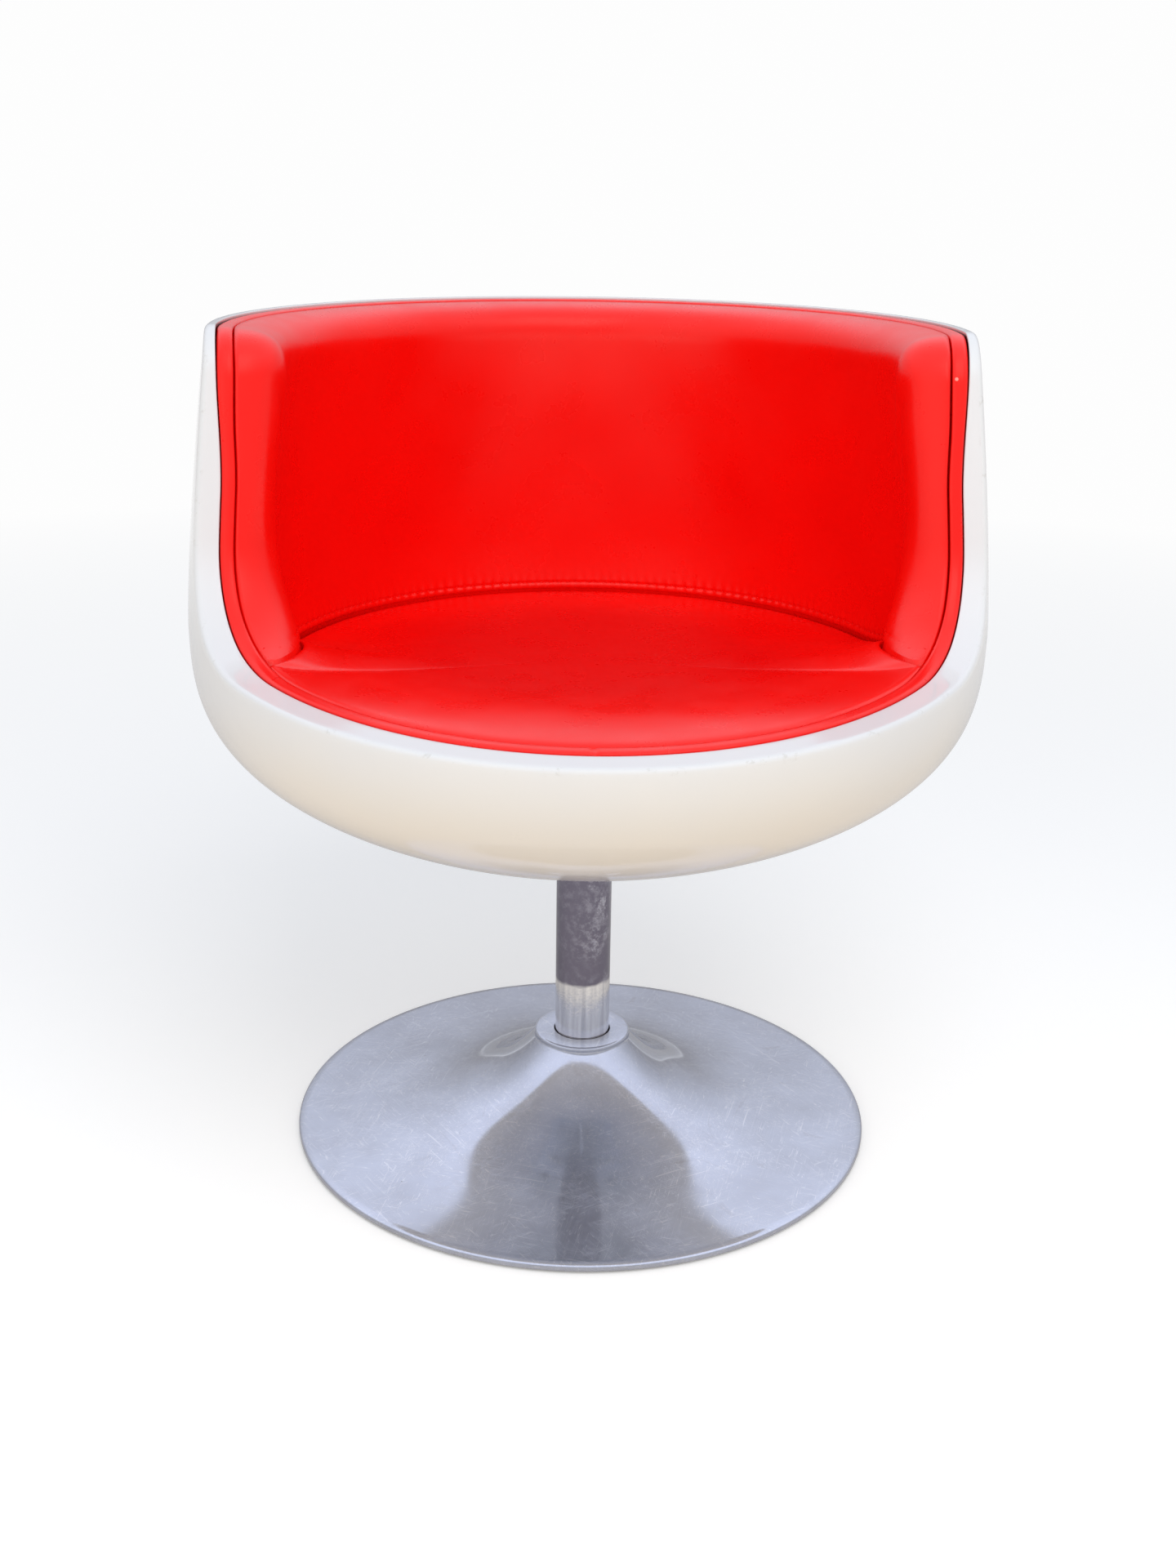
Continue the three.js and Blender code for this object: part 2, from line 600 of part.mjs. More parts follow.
// The cut of the mouth in the side view, as [y, z] points from the front to the back, moved by a depth
// into the shell: lip line, sweep, leaning side edge, corner and level top.
function mouthCut(depth, reach) {
  const lean = deg(SIDE_LEAN);
  const slope = deg(LIP_SLOPE);
  const frontY = -SHELL_DIA / 2;
  const topZ = RIM_Z - depth;
  const edgeY = (z) => MOUTH_TOP_Y - (RIM_Z - z) * Math.tan(lean) + depth / Math.cos(lean);
  const lipZ = (y) => LIP_FRONT_Z + (y - frontY) * Math.tan(slope) - depth / Math.cos(slope);
  const crossZ = (lipZ(0) + Math.tan(slope) * edgeY(0)) / (1 - Math.tan(lean) * Math.tan(slope));
  const sweepCorner = new THREE.Vector2(edgeY(crossZ), crossZ);
  const topCorner = new THREE.Vector2(edgeY(topZ), topZ);
  const front = new THREE.Vector2(-reach, lipZ(-reach));
  const back = new THREE.Vector2(reach, topZ);
  return [
    front,
    ...rounded(front, sweepCorner, topCorner, SWEEP_RADIUS + depth, SWEEP_STEPS),
    ...rounded(sweepCorner, topCorner, back, CORNER_RADIUS - depth, CORNER_STEPS),
    back,
  ];
}

// Points of the arc that rounds the corner between two straight lines.
function rounded(before, corner, after, radius, steps) {
  const back = before.clone().sub(corner).normalize();
  const on = after.clone().sub(corner).normalize();
  const half = Math.acos(back.dot(on)) / 2;
  const middle = corner.clone().addScaledVector(back.clone().add(on).normalize(), radius / Math.sin(half));
  const start = corner.clone().addScaledVector(back, radius / Math.tan(half)).sub(middle);
  const end = corner.clone().addScaledVector(on, radius / Math.tan(half)).sub(middle);
  let sweep = end.angle() - start.angle();
  if (sweep > Math.PI) sweep -= 2 * Math.PI;
  if (sweep < -Math.PI) sweep += 2 * Math.PI;
  return Array.from({ length: steps + 1 }, (_, i) =>
    start.clone().rotateAround(new THREE.Vector2(), (sweep * i) / steps).add(middle),
  );
}

// Everything above and in front of the mouth cut, as wide as the shell.
function mouthCutter(depth) {
  const reach = SHELL_DIA;
  const outline = mouthCut(depth, reach);
  outline.push(new THREE.Vector2(reach, RIM_Z + reach), new THREE.Vector2(-reach, RIM_Z + reach));
  const options = { depth: 2 * reach, bevelEnabled: false };
  const block = new THREE.ExtrudeGeometry(new THREE.Shape(outline), options).translate(0, 0, -reach);
  const turn = new THREE.Matrix4().makeBasis(
    new THREE.Vector3(0, 1, 0),
    new THREE.Vector3(0, 0, 1),
    new THREE.Vector3(1, 0, 0),
  );
  return block.applyMatrix4(turn);
}

function addShell() {
  const outside = shellOutline(RIM_Z + SHELL_WALL);
  const inside = insetOutline(outside, SHELL_WALL);
  const cavity = cut(bowl(inside), mouthCutter(FLANGE_THICK));
  const mouth = Array.from({ length: FLANGE_ROWS + 1 }, (_, i) => {
    const z = lerp(BOARD_TOP_Z, RIM_Z + SHELL_WALL, i / FLANGE_ROWS);
    return [shellRadius(z) - flangeWidth(z), z];
  });
  const holes = boltHoles(SHELL_FLAT_Z - THROUGH, SHELL_FLAT_Z + SHELL_WALL + THROUGH);
  const shell = cut(bowl(outside), mouthCutter(0), cavity, bowl(mouth), ...holes);
  place("outer_shell", shell, whiteGloss, turning);
}

// ---------- lining ----------
const linerOutside = SHELL_WALL + CLEARANCE;
const linerInside = linerOutside + LINER_THICK;

// How far a depth square to the shell reaches level with the floor.
function across(z, depth) {
  const step = 1;
  return depth * Math.hypot(1, (shellRadius(z + step) - shellRadius(z - step)) / (2 * step));
}

const liningBack = (z) => across(z, linerInside + LINING_GAP);

function addLiner() {
  const outline = shellOutline(RIM_Z + SHELL_WALL);
  const outer = bowl(insetOutline(outline, linerOutside));
  const inner = bowl(insetOutline(outline, linerInside));
  const below = disc(SHELL_DIA, 0, BOARD_TOP_Z + CLEARANCE);
  const edge = mouthCutter(BORDER_DEPTH + CUSHION_GAP);
  place("back_liner", cut(outer, inner, below, edge), greySkin, turning);
}

function addSeatBoard() {
  const bottom = BOARD_TOP_Z - BOARD_THICK;
  const lower = shellRadius(bottom) - across(bottom, SHELL_WALL + CUSHION_GAP);
  const upper = shellRadius(BOARD_TOP_Z) - across(BOARD_TOP_Z, SHELL_WALL + CUSHION_GAP);
  const profile = [[0, bottom], [lower, bottom], [upper, BOARD_TOP_Z], [0, BOARD_TOP_Z]];
  place("seat_board", turned(profile, SHELL_SEGMENTS), birchPly, turning);
}

// The right half of the loop where a surface inset from the shell meets the mouth cut moved by a depth,
// as closely spaced points from the front middle by the right side to the back middle. The fourth number
// is the place along the cut, which stays the same from one depth to the next.
function fineHalfLoop(inset, depth) {
  const level = mouthCut(0, SHELL_DIA);
  const corners = mouthCut(depth, SHELL_DIA);
  const trail = [];
  let travelled = 0;
  for (let i = 1; i < corners.length; i++) {
    const length = level[i].distanceTo(level[i - 1]);
    const steps = Math.ceil(length * FINE_STEPS);
    for (let j = 0; j < steps; j++) {
      const p = corners[i - 1].clone().lerp(corners[i], j / steps);
      const squaredX = (shellRadius(p.y) - inset(p.y)) ** 2 - p.x ** 2;
      const along = travelled + (length * j) / steps;
      if (squaredX > 0) trail.push(new THREE.Vector4(Math.sqrt(squaredX), p.x, p.y, along));
    }
    travelled += length;
  }
  trail[0].x = 0;
  trail[trail.length - 1].x = 0;
  return trail;
}

// Shares of the half loop for the stations that every piece at the mouth uses, closer where it bends.
function bendStations(trail, count) {
  const points = trail.map((p) => new THREE.Vector3(p.x, p.y, p.z));
  const last = points.length - 1;
  const reach = BEND_WINDOW * FINE_STEPS;
  const load = [0];
  for (let i = 1; i <= last; i++) {
    const before = points[i].clone().sub(points[Math.max(i - reach, 0)]);
    const after = points[Math.min(i + reach, last)].clone().sub(points[i]);
    const bend = before.length() * after.length() > 0 ? before.angleTo(after) / (reach / FINE_STEPS) : 0;
    load.push(load[i - 1] + points[i].distanceTo(points[i - 1]) * (1 + BEND_REACH * bend));
  }
  const [start, end] = [trail[0].w, trail[last].w];
  return Array.from({ length: count + 1 }, (_, i) => {
    const k = load.findIndex((value) => value >= (load[last] * i) / count - 1e-6);
    return (trail[k].w - start) / (end - start);
  });
}

function atStations(trail, shares) {
  const [start, end] = [trail[0].w, trail[trail.length - 1].w];
  let k = 1;
  return shares.map((share) => {
    const want = lerp(start, end, share);
    while (k < trail.length - 1 && trail[k].w < want) k++;
    const p = trail[k - 1].clone().lerp(trail[k], (want - trail[k - 1].w) / (trail[k].w - trail[k - 1].w));
    return new THREE.Vector3(p.x, p.y, p.z);
  });
}

function wholeLoop(half) {
  const left = half.slice(1, -1).reverse().map((p) => new THREE.Vector3(-p.x, p.y, p.z));
  return [...half, ...left];
}

const borderOuter = (z) => flangeWidth(z) + BORDER_GAP;
const borderInner = (z) => borderOuter(z) + BORDER_WIDTH;
const seamInset = (z) => borderInner(z) + STRIP_GAP;
const seamTrail = fineHalfLoop(seamInset, 0);
const stations = bendStations(seamTrail, LOOP_POINTS / 2);
const halfLoop = (inset, depth) => atStations(fineHalfLoop(inset, depth), stations);

function addBorder() {
  const middle = (z) => borderOuter(z) + BORDER_WIDTH / 2;
  const section = [
    [borderOuter, BORDER_DEPTH],
    [borderOuter, -BORDER_PROUD / 2],
    [middle, -BORDER_PROUD],
    [borderInner, -BORDER_PROUD / 2],
    [borderInner, BORDER_DEPTH],
  ];
  const loops = section.map(([inset, depth]) => wholeLoop(halfLoop(inset, depth)));
  place("border_strip", skin(loops, "ring"), redVinyl, turning);
}

// A point of the lining: inset from the shell's outside at an angle round the cup and a height.
function liningPoint(angle, z, inset) {
  const radius = shellRadius(z) - inset;
  return new THREE.Vector3(radius * Math.cos(angle), radius * Math.sin(angle), z);
}

const seamLoop = atStations(seamTrail, stations);
const seamStart = seamLoop.findIndex((p) => p.y > SEAM_END_Y);
const angleOf = (p) => Math.atan2(p.y, p.x);
const seamAngle = angleOf(seamLoop[seamStart]);
const seamTopZ = seamLoop[seamStart].z;
const backColumns = seamLoop.length - 1 - seamStart;
const columnAngle = (column) => lerp(seamAngle, Math.PI / 2, column / backColumns);

// Height of the seam between back and seat at an angle on the right half.
function seamHeight(angle) {
  const share = (Math.PI / 2 - angle) / (Math.PI / 2 - seamAngle);
  return lerp(SEAM_BACK_Z, seamTopZ, smooth(share, SEAM_CLIMB_START, SEAM_CLIMB_END));
}

// The border seam on the unrolled cup, as short lines with the direction square to the mouth cut.
const unrolledRadius = SHELL_DIA / 2 - LINING_DEPTH;
const unroll = (angle, z) => new THREE.Vector3(angle * unrolledRadius, z, 0);
const markEvery = SEAM_MARK_SPACING * FINE_STEPS;
const seamMarks = seamTrail.filter((p, i) => i % markEvery === 0 || i === seamTrail.length - 1);
const seamLines = seamMarks.slice(1).map((b, i) => {
  const a = seamMarks[i];
  return {
    line: new THREE.Line3(unroll(angleOf(a), a.z), unroll(angleOf(b), b.z)),
    outward: new THREE.Vector3(0, a.z - b.z, b.y - a.y).normalize(),
  };
});

function nearestBorder(angle, z) {
  const from = unroll(angle, z);
  const onLine = new THREE.Vector3();
  let nearest = { distance: Infinity };
  seamLines.forEach(({ line, outward }) => {
    const distance = line.closestPointToPoint(from, true, onLine).distanceTo(from);
    if (distance < nearest.distance) nearest = { distance, outward };
  });
  return nearest;
}

// How deep the lining is at a place: even all round, but swelling towards the ends of the back's seam.
function liningDepth(angle, z) {
  const away = Math.hypot((angle - deg(CORNER_ANGLE)) * unrolledRadius, z - seamTopZ) / CORNER_SPREAD;
  return LINING_DEPTH + CORNER_FULL * Math.exp(-(away ** 2));
}

// The back cushion's face: it rolls from the border seam to its full depth over the width of the roll,
// and stands a little proud of the mouth on the way, less so where it runs out towards the seat's seam.
function backFace(angle, z, gap) {
  const { distance, outward } = nearestBorder(angle, z);
  const share = Math.min(1, distance / BACK_ROLL);
  const inset = lerp(seamInset(z), liningDepth(angle, z), Math.sqrt(1 - (1 - share) ** 2));
  const fullness = smooth(z - seamHeight(angle), 0, 2 * BACK_ROLL);
  const proud = 4 * BACK_ROLL_PROUD * share * (1 - share) * fullness;
  const raised = liningPoint(angle, z, inset + gap).addScaledVector(outward, proud);
  return liningPoint(angleOf(raised), raised.z, inset + gap);
}

// One section of the back cushion's face, from the seat board up to the border.
function backRows(edge, angle) {
  const top = { angle: angleOf(edge), z: edge.z };
  const seam = seamHeight(angle);
  const foot = backFace(angle, seam, 0);
  foot.z = BOARD_TOP_Z + CUSHION_GAP;
  const length = unroll(angle, seam).distanceTo(unroll(top.angle, top.z));
  const roll = Math.min(BACK_ROLL / length, BACK_ROLL_LIMIT);
  const rows = BACK_FLAT_SHARES.map((v) => v * (1 - roll));
  rows.push(...BACK_ROLL_SHARES.map((v) => 1 - v * roll));
  return [foot, ...rows.map((v) => backFace(lerp(angle, top.angle, v), lerp(seam, top.z, v), 0))];
}

function addBackCushion() {
  const belowStrip = BORDER_DEPTH + SEAM_GAP;
  const under = halfLoop(seamInset, belowStrip);
  const behind = halfLoop(liningBack, belowStrip);
  const right = [];
  for (let column = 0; column <= backColumns; column++) {
    const angle = columnAngle(column);
    const station = seamStart + column;
    const section = backRows(seamLoop[station], angle);
    section.push(under[station], behind[station]);
    const shoulder = Math.min(seamHeight(angle), behind[station].z - CUSHION_GAP);
    [shoulder, BOARD_TOP_Z + CUSHION_GAP].forEach((z) => {
      section.push(liningPoint(angle, z, liningBack(z)));
    });
    right.push(section);
  }
  const left = right.slice(0, -1).reverse().map((s) => s.map((p) => new THREE.Vector3(-p.x, p.y, p.z)));
  place("back_cushion", skin([...right, ...left], "corner"), redVinyl, turning);
}

// The seat cushion's edge on the right half: along the border in front, along the back cushion behind.
function seatEdge() {
  const back = Array.from({ length: backColumns + 1 }, (_, column) => {
    const angle = columnAngle(column);
    return backFace(angle, seamHeight(angle) - CUSHION_GAP, SEAM_GAP);
  });
  return [...seamLoop.slice(0, seamStart), ...back];
}

function addSeatCushion() {
  const edge = wholeLoop(seatEdge());
  const middle = new THREE.Vector3(0, (edge[0].y + edge[edge.length / 2].y) / 2, SEAT_MIDDLE_Z);
  const crowned = (share) =>
    edge.map((p) => {
      const inFront = smooth(-p.y, SEAM_END_Y, -SEAM_END_Y);
      const roll = Math.sin(Math.PI * THREE.MathUtils.clamp((1 - share) / SEAT_ROLL_SHARE, 0, 1));
      const point = middle.clone().lerp(p, share);
      point.z = lerp(middle.z, p.z, share ** SEAT_DISH_POWER) + SEAT_CROWN * inFront * roll;
      return point;
    });
  const side = (z, extra) =>
    edge.map((p) => {
      const angle = Math.atan2(p.y, Math.abs(p.x));
      const clear = smooth(seamAngle - angle, deg(SEAT_STEP_START), deg(SEAT_STEP_ANGLE));
      const inset = lerp(liningDepth(angle, p.z) + CUSHION_GAP, seamInset(p.z), clear) + extra;
      const point = liningPoint(angle, z, inset);
      point.x *= Math.sign(p.x);
      return point;
    });
  const low = BOARD_TOP_Z + CUSHION_GAP;
  const loops = SEAT_RING_SHARES.map(crowned);
  loops.push(side(lerp(low, SEAM_BACK_Z, 0.5), SEAT_DRAW_IN / 3), side(low, SEAT_DRAW_IN));
  place("seat_cushion", skin(loops), redVinyl, turning);
}

addSpindle(addBase());
addBushes();
addThrustBearing();
addColumn();
addPlateFasteners();
addShell();
addLiner();
addSeatBoard();
addBorder();
addBackCushion();
addSeatCushion();

export default chair;
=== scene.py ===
"""Swivel cup chair: a glossy white cup shell lined with red vinyl, turning on a chrome column in an aluminium trumpet
base. The shape functions work in millimetres and the meshes are in metres, +Z up, with the sitter facing -Y."""
import json
import math

import bmesh
import bpy
import numpy as np
from mathutils import Matrix, Vector


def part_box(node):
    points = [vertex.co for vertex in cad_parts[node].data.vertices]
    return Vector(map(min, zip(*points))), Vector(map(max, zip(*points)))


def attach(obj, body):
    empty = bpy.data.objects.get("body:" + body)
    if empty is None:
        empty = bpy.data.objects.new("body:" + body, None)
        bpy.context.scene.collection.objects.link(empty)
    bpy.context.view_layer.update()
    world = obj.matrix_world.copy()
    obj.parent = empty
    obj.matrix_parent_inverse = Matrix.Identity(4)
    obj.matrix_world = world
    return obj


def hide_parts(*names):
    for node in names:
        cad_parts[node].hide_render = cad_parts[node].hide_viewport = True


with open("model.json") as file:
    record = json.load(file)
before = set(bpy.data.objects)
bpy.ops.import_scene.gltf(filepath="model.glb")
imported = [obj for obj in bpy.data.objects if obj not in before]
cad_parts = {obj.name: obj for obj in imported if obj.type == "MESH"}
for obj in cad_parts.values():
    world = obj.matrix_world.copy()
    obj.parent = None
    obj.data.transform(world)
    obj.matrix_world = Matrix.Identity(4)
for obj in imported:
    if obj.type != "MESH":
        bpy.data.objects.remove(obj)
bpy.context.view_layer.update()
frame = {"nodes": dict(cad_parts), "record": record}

MM = 0.001

# ---------- sizes ----------
# The cup, the mouth, the column and the hidden faces keep the frame's sizes. The swell of the cushions, the sewing and
# the rise of the base's trumpet are worked out here.
SHELL_R = 336.0
BELLY_Z = 489.0
POLE_Z = 271.0
FLAT_Z = 290.0
BOWL_SIDE = 2.95
BOWL_POLE = 1.29
RIM_Z = 726.0
RIM_R = 310.0
TAPER = 1.3
SHELL_WALL = 5.0
FLANGE_FRONT = 23.5
FLANGE_SIDE = 18.8
FLANGE_TOP = 8.7
FLANGE_FRONT_Z = 445.0
FLANGE_SIDE_Z = 560.0
FLANGE_NARROWS_Z = 600.0
RIM_EDGE = 4.0  # rounding of the shell's outer edge
RIM_LIP = 1.2  # rounding of the flange's inner edge

MOUTH_TOP_Y = -65.0
SIDE_LEAN = math.radians(10.2)
LIP_FRONT_Z = 456.3
LIP_SLOPE = math.radians(7.4)
SWEEP_R = 114.0
CORNER_R = 41.0

BORDER_GAP = 1.0
BORDER_WIDE = 12.0
BORDER_PINCH = 2.2  # how much narrower the band shows down the sides, where the cushion swells over it
PINCH_IN_Z = (465.0, 520.0)
PINCH_OUT_Z = (640.0, 700.0)
BORDER_PROUD = 1.6
BORDER_CROWN = 3.2  # power of the band's crown
BORDER_SHOULDER = 1.0  # depth at which its sides start
BORDER_SUNK = 3.2  # how much lower the band lies along the top than down the sides
BORDER_SUNK_Z = (640.0, 715.0)
BORDER_DEEP = 7.0
JOINT_X = -11.0  # where the band's ends meet in front, in a nick
JOINT_WIDE = 1.4
JOINT_DEEP = 2.2
STRIP_GAP = 1.9
LINING_DEEP = 66.0
BACK_ROLL = 34.0
BACK_ROLL_PROUD = 3.0
LINER_BACK = 10.5  # shell's outside to the back of the back cushion
SEAM_END_Y = -158.0
SEAM_BACK_Z = 443.0
SEAM_CLIMB = (0.60, 0.92)
CORNER_FULL = 18.0
CORNER_ANGLE = math.radians(-23)
CORNER_SPREAD = 64.0
SEAM_GAP = 1.6
SEAM_UNDER = 0.5  # how far the seat's edge lies below the back's
HEM_RISE = 7.0  # height of the stitches above the seam
HEM_TUCK = 2.2
HEM_SOFT = 2.0
STITCH_DRAW = 0.9  # how deep the stitches draw the vinyl in
STITCH_SOFT = 1.4
STITCH_PITCH = 4.4
STITCH_LONG = 2.8
STITCH_R = 0.42
STITCH_PROUD = 0.25
STITCH_FORM = ((-0.5, 0.3), (-0.28, 1.0), (0.28, 1.0), (0.5, 0.3))  # shares of its length and of its radius
PUCKER = 9.5  # length of one pucker along the stitches
PUCKER_STRAY = 3.0  # how far the puckers stray from even steps
PUCKER_HIGH = 0.5
PUCKER_REACH = 6.0
PUCKER_ROOT = 1.5
FOLD_TOP = (-38.0, 240.0)  # top of the drag fold at the upper corner: along the lining and above the seam
FOLD_RUN = (0.5, -0.866)  # the way that the fold runs
FOLD_HIGH = 2.4
FOLD_WIDE = 10.0
FOLD_IN = (-30.0, 15.0)
FOLD_OUT = (30.0, 90.0)
HOLLOW_DEEP = 0.6  # the hollow beside the fold, as a share of the fold's height
HOLLOW_AWAY = 16.0
WAVES_HIGH = 0.5
WAVES_IN = (12.0, 60.0)
HEM_ROWS, FLAT_ROWS, ROLL_ROWS = 16, 34, 28
EDGE_TUCK = 3.2  # how deep the seat's edge turns down to its seams
EDGE_SOFT = 2.2
BOARD_TOP_Z = 402.95
SEAT_MIDDLE_Z = 453.0
SEAT_CROWN = 9.0  # height of the swell along the front
SWELL_REACH = 80.0
SWELL_ROUND = 2.2
SWELL_IN_Y = (-60.0, 190.0)  # from where to where in front of the axis the swell comes in
SWELL_OUT = 45.0  # how far above the lip it is gone
SEAT_DISH = 2.6  # power by which the seat rises to its edge
SEAT_RIM = 14  # power by which what is uneven in the edge comes in
SEAT_EVEN = 100  # columns to each side over which the edge's height is averaged
SEAT_WAVE = 0.6
SEAT_DRAW_IN = 10.0
SEAT_STEP = math.radians(9)

BASE_R = 264.0
BASE_EDGE_Z = 8.0
BASE_EDGE_LOW = 2.5
BASE_EDGE_ROUND = (2.0, 1.0)  # rounding of the thin edge above and below
BASE_WALL = 5.0
TRUMPET = ((15.5, 1.0), (13.2, 4.0), (47.8, 4.5))  # rises that add up, each with its power
COLLAR_R = 44.0
COLLAR_TOP = 89.0
COLLAR_LOW = 84.0
COLLAR_ROUND = 2.5
HUB_SQUARE = 3
HUB_FLAT = 0.34  # how far the level lines go from round to square
HUB_FADE = (75.0, 113.0)  # radii over which the flats fade
HUB_TURN = math.radians(1)
SOCKET_FLOOR = 30.0
SOCKET_R = 25.6
BOSS_R = 36.0
BOSS_LOW = 17.0
BORE_R = 12.8
RING_GROOVE = (244.7, 259.3)
RING_GROOVE_TOP = 4.5

COLUMN_R = 25.0
COLUMN_WALL = 2.5
COLUMN_FOOT = 41.0
COLUMN_EASE = 0.6

HALF_COLUMNS = 440  # stations on half of the mouth
BASE_COLUMNS = 360
FINE = 0.25  # millimetres between the samples of the mouth's cut


def step(value, low, high):
    """Smooth rise from 0 at low to 1 at high, three squares less two cubes."""
    t = np.clip((value - low) / (high - low), 0, 1)
    return t * t * (3 - 2 * t)


def bell(value, middle, reach):
    """Bell curve: e to the power of minus the square of the distance from the middle, counted in reaches."""
    return np.exp(-(((value - middle) / reach) ** 2))


# ---------- meshes ----------
def in_scene(name, data):
    """A new object of the scene that holds a mesh, a lamp or a camera."""
    made = bpy.data.objects.new(name, data)
    bpy.context.scene.collection.objects.link(made)
    return made


def outward(points, quads, triangles):
    """True if the faces point out: the sum of the tetrahedra from the origin to the faces is positive."""
    parts = [triangles, quads[:, [0, 1, 2]], quads[:, [0, 2, 3]]]
    faces = np.concatenate([part for part in parts if len(part)])
    a, b, c = (points[faces[:, k]] for k in range(3))
    return np.einsum("ij,ij->", a, np.cross(b, c)) > 0


def joined_loops(rows, columns, ring):
    """Quads between neighbouring loops that each close on themselves, and between the last and the first in a ring."""
    row = np.arange(rows if ring else rows - 1)[:, None]
    j = np.arange(columns)[None, :]
    k = (j + 1) % columns
    here, there = row * columns, (row + 1) % rows * columns
    return np.stack([here + j, here + k, there + k, there + j], -1).reshape(-1, 4)


def mesh_of(name, points, faces):
    mesh = bpy.data.meshes.new(name)
    mesh.from_pydata((points * MM).tolist(), [], faces)
    return mesh


def skin(name, loops, ring=False, attributes=None):
    """A closed skin over loops of points: every loop closes on itself and neighbours are joined by quads. The first and
    last loops are closed by fans about their middles, or run into each other where ring is true."""
    rows, columns = loops.shape[:2]
    points = loops.reshape(-1, 3)
    quads = joined_loops(rows, columns, ring)
    triangles = np.zeros((0, 3), int)
    if not ring:
        j = np.arange(columns)
        k = (j + 1) % columns
        last = (rows - 1) * columns
        middles = np.array([loops[0].mean(0), loops[-1].mean(0)])
        first_hub, last_hub = len(points), len(points) + 1
        points = np.concatenate([points, middles])
        front = np.stack([np.full(columns, first_hub), k, j], -1)
        back = np.stack([np.full(columns, last_hub), last + j, last + k], -1)
        triangles = np.concatenate([front, back])
    if not outward(points, quads, triangles):
        quads, triangles = quads[:, ::-1], triangles[:, ::-1]
    mesh = mesh_of(name, points, quads.tolist() + triangles.tolist())
    for label, values in (attributes or {}).items():
        flat = np.resize(np.asarray(values, float).ravel(), rows * columns)
        layer = mesh.attributes.new(label, "FLOAT", "POINT")
        layer.data.foreach_set("value", np.append(flat, [0.0] * (len(points) - rows * columns)))
    merge_doubles(mesh)
    mesh.shade_smooth()
    return in_scene(name, mesh)


def skins(name, stacks):
    """Many small closed skins in one mesh, each a stack of loops with its ends closed by one face."""
    rows, columns = stacks.shape[1:3]
    quads = joined_loops(rows, columns, False)
    ends = np.array([np.arange(columns)[::-1], (rows - 1) * columns + np.arange(columns)])
    faces = []
    for number, stack in enumerate(stacks):
        centred = (stack - stack.mean((0, 1))).reshape(-1, 3)
        way = 1 if outward(centred, quads, np.zeros((0, 3), int)) else -1
        for sides in (quads, ends):
            faces += (sides[:, ::way] + number * rows * columns).tolist()
    mesh = mesh_of(name, stacks.reshape(-1, 3), faces)
    mesh.shade_smooth()
    return in_scene(name, mesh)


def merge_doubles(mesh, distance=1e-6):
    """Merges points that lie together, so that seams and poles are closed."""
    work = bmesh.new()
    work.from_mesh(mesh)
    bmesh.ops.remove_doubles(work, verts=work.verts, dist=distance)
    bmesh.ops.dissolve_degenerate(work, edges=work.edges, dist=distance)
    work.to_mesh(mesh)
    work.free()


def revolved(profile, columns):
    """Loops of a profile carried round Z: [radius, z] rows become circles."""
    radius, z = np.asarray(profile, float).T
    angle = np.linspace(0, 2 * math.pi, columns, endpoint=False)
    x = radius[:, None] * np.cos(angle)
    y = radius[:, None] * np.sin(angle)
    return np.stack([x, y, np.broadcast_to(z[:, None], x.shape)], -1)


def fillet(centre, radius, start, end, steps):
    """Points of an arc about a centre, from one angle to another in degrees."""
    angle = np.radians(np.linspace(start, end, steps))
    return [(centre[0] + radius * math.cos(a), centre[1] + radius * math.sin(a)) for a in angle]


def dress(piece, body, material, slot, *nodes):
    """Gives a piece its material, lets it ride on its body and hides the nodes that it stands for. The slot is not
    used.
    """
    piece.data.materials.append(material)
    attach(piece, body)
    if nodes:
        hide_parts(*nodes)
    return piece


# ---------- form of the cup ----------
def shell_radius(z):
    """Outside radius at a height: below the belly a bowl, one less a power of the fall, and above it a slow taper."""
    z = np.asarray(z, float)
    fall = np.clip((BELLY_Z - z) / (BELLY_Z - POLE_Z), 0, 1)
    rise = np.clip((z - BELLY_Z) / (RIM_Z - BELLY_Z), 0, None)
    bowl = SHELL_R * (1 - fall**BOWL_SIDE) ** (1 / BOWL_POLE)
    wall = SHELL_R - (SHELL_R - RIM_R) * rise**TAPER
    return np.where(z < BELLY_Z, bowl, wall)


def across(z, depth):
    """How far a depth square to the shell reaches level with the floor: depth times the slant of the wall."""
    return depth * np.hypot(1, (shell_radius(z + 1) - shell_radius(z - 1)) / 2)


def flange_width(z):
    """Width of the flange: wide in front, narrower up the sides and narrowest along the top."""
    low = FLANGE_FRONT + (FLANGE_SIDE - FLANGE_FRONT) * step(z, FLANGE_FRONT_Z, FLANGE_SIDE_Z)
    return low - (FLANGE_SIDE - FLANGE_TOP) * step(z, FLANGE_NARROWS_Z, RIM_Z)


def line_crossing(first, second, first_normal, second_normal, offset):
    """The point that lies at an offset from two lines, each given by a point and a unit normal."""
    sides = np.array([first_normal, second_normal])
    return np.linalg.solve(sides, [np.dot(first, first_normal) + offset, np.dot(second, second_normal) + offset])


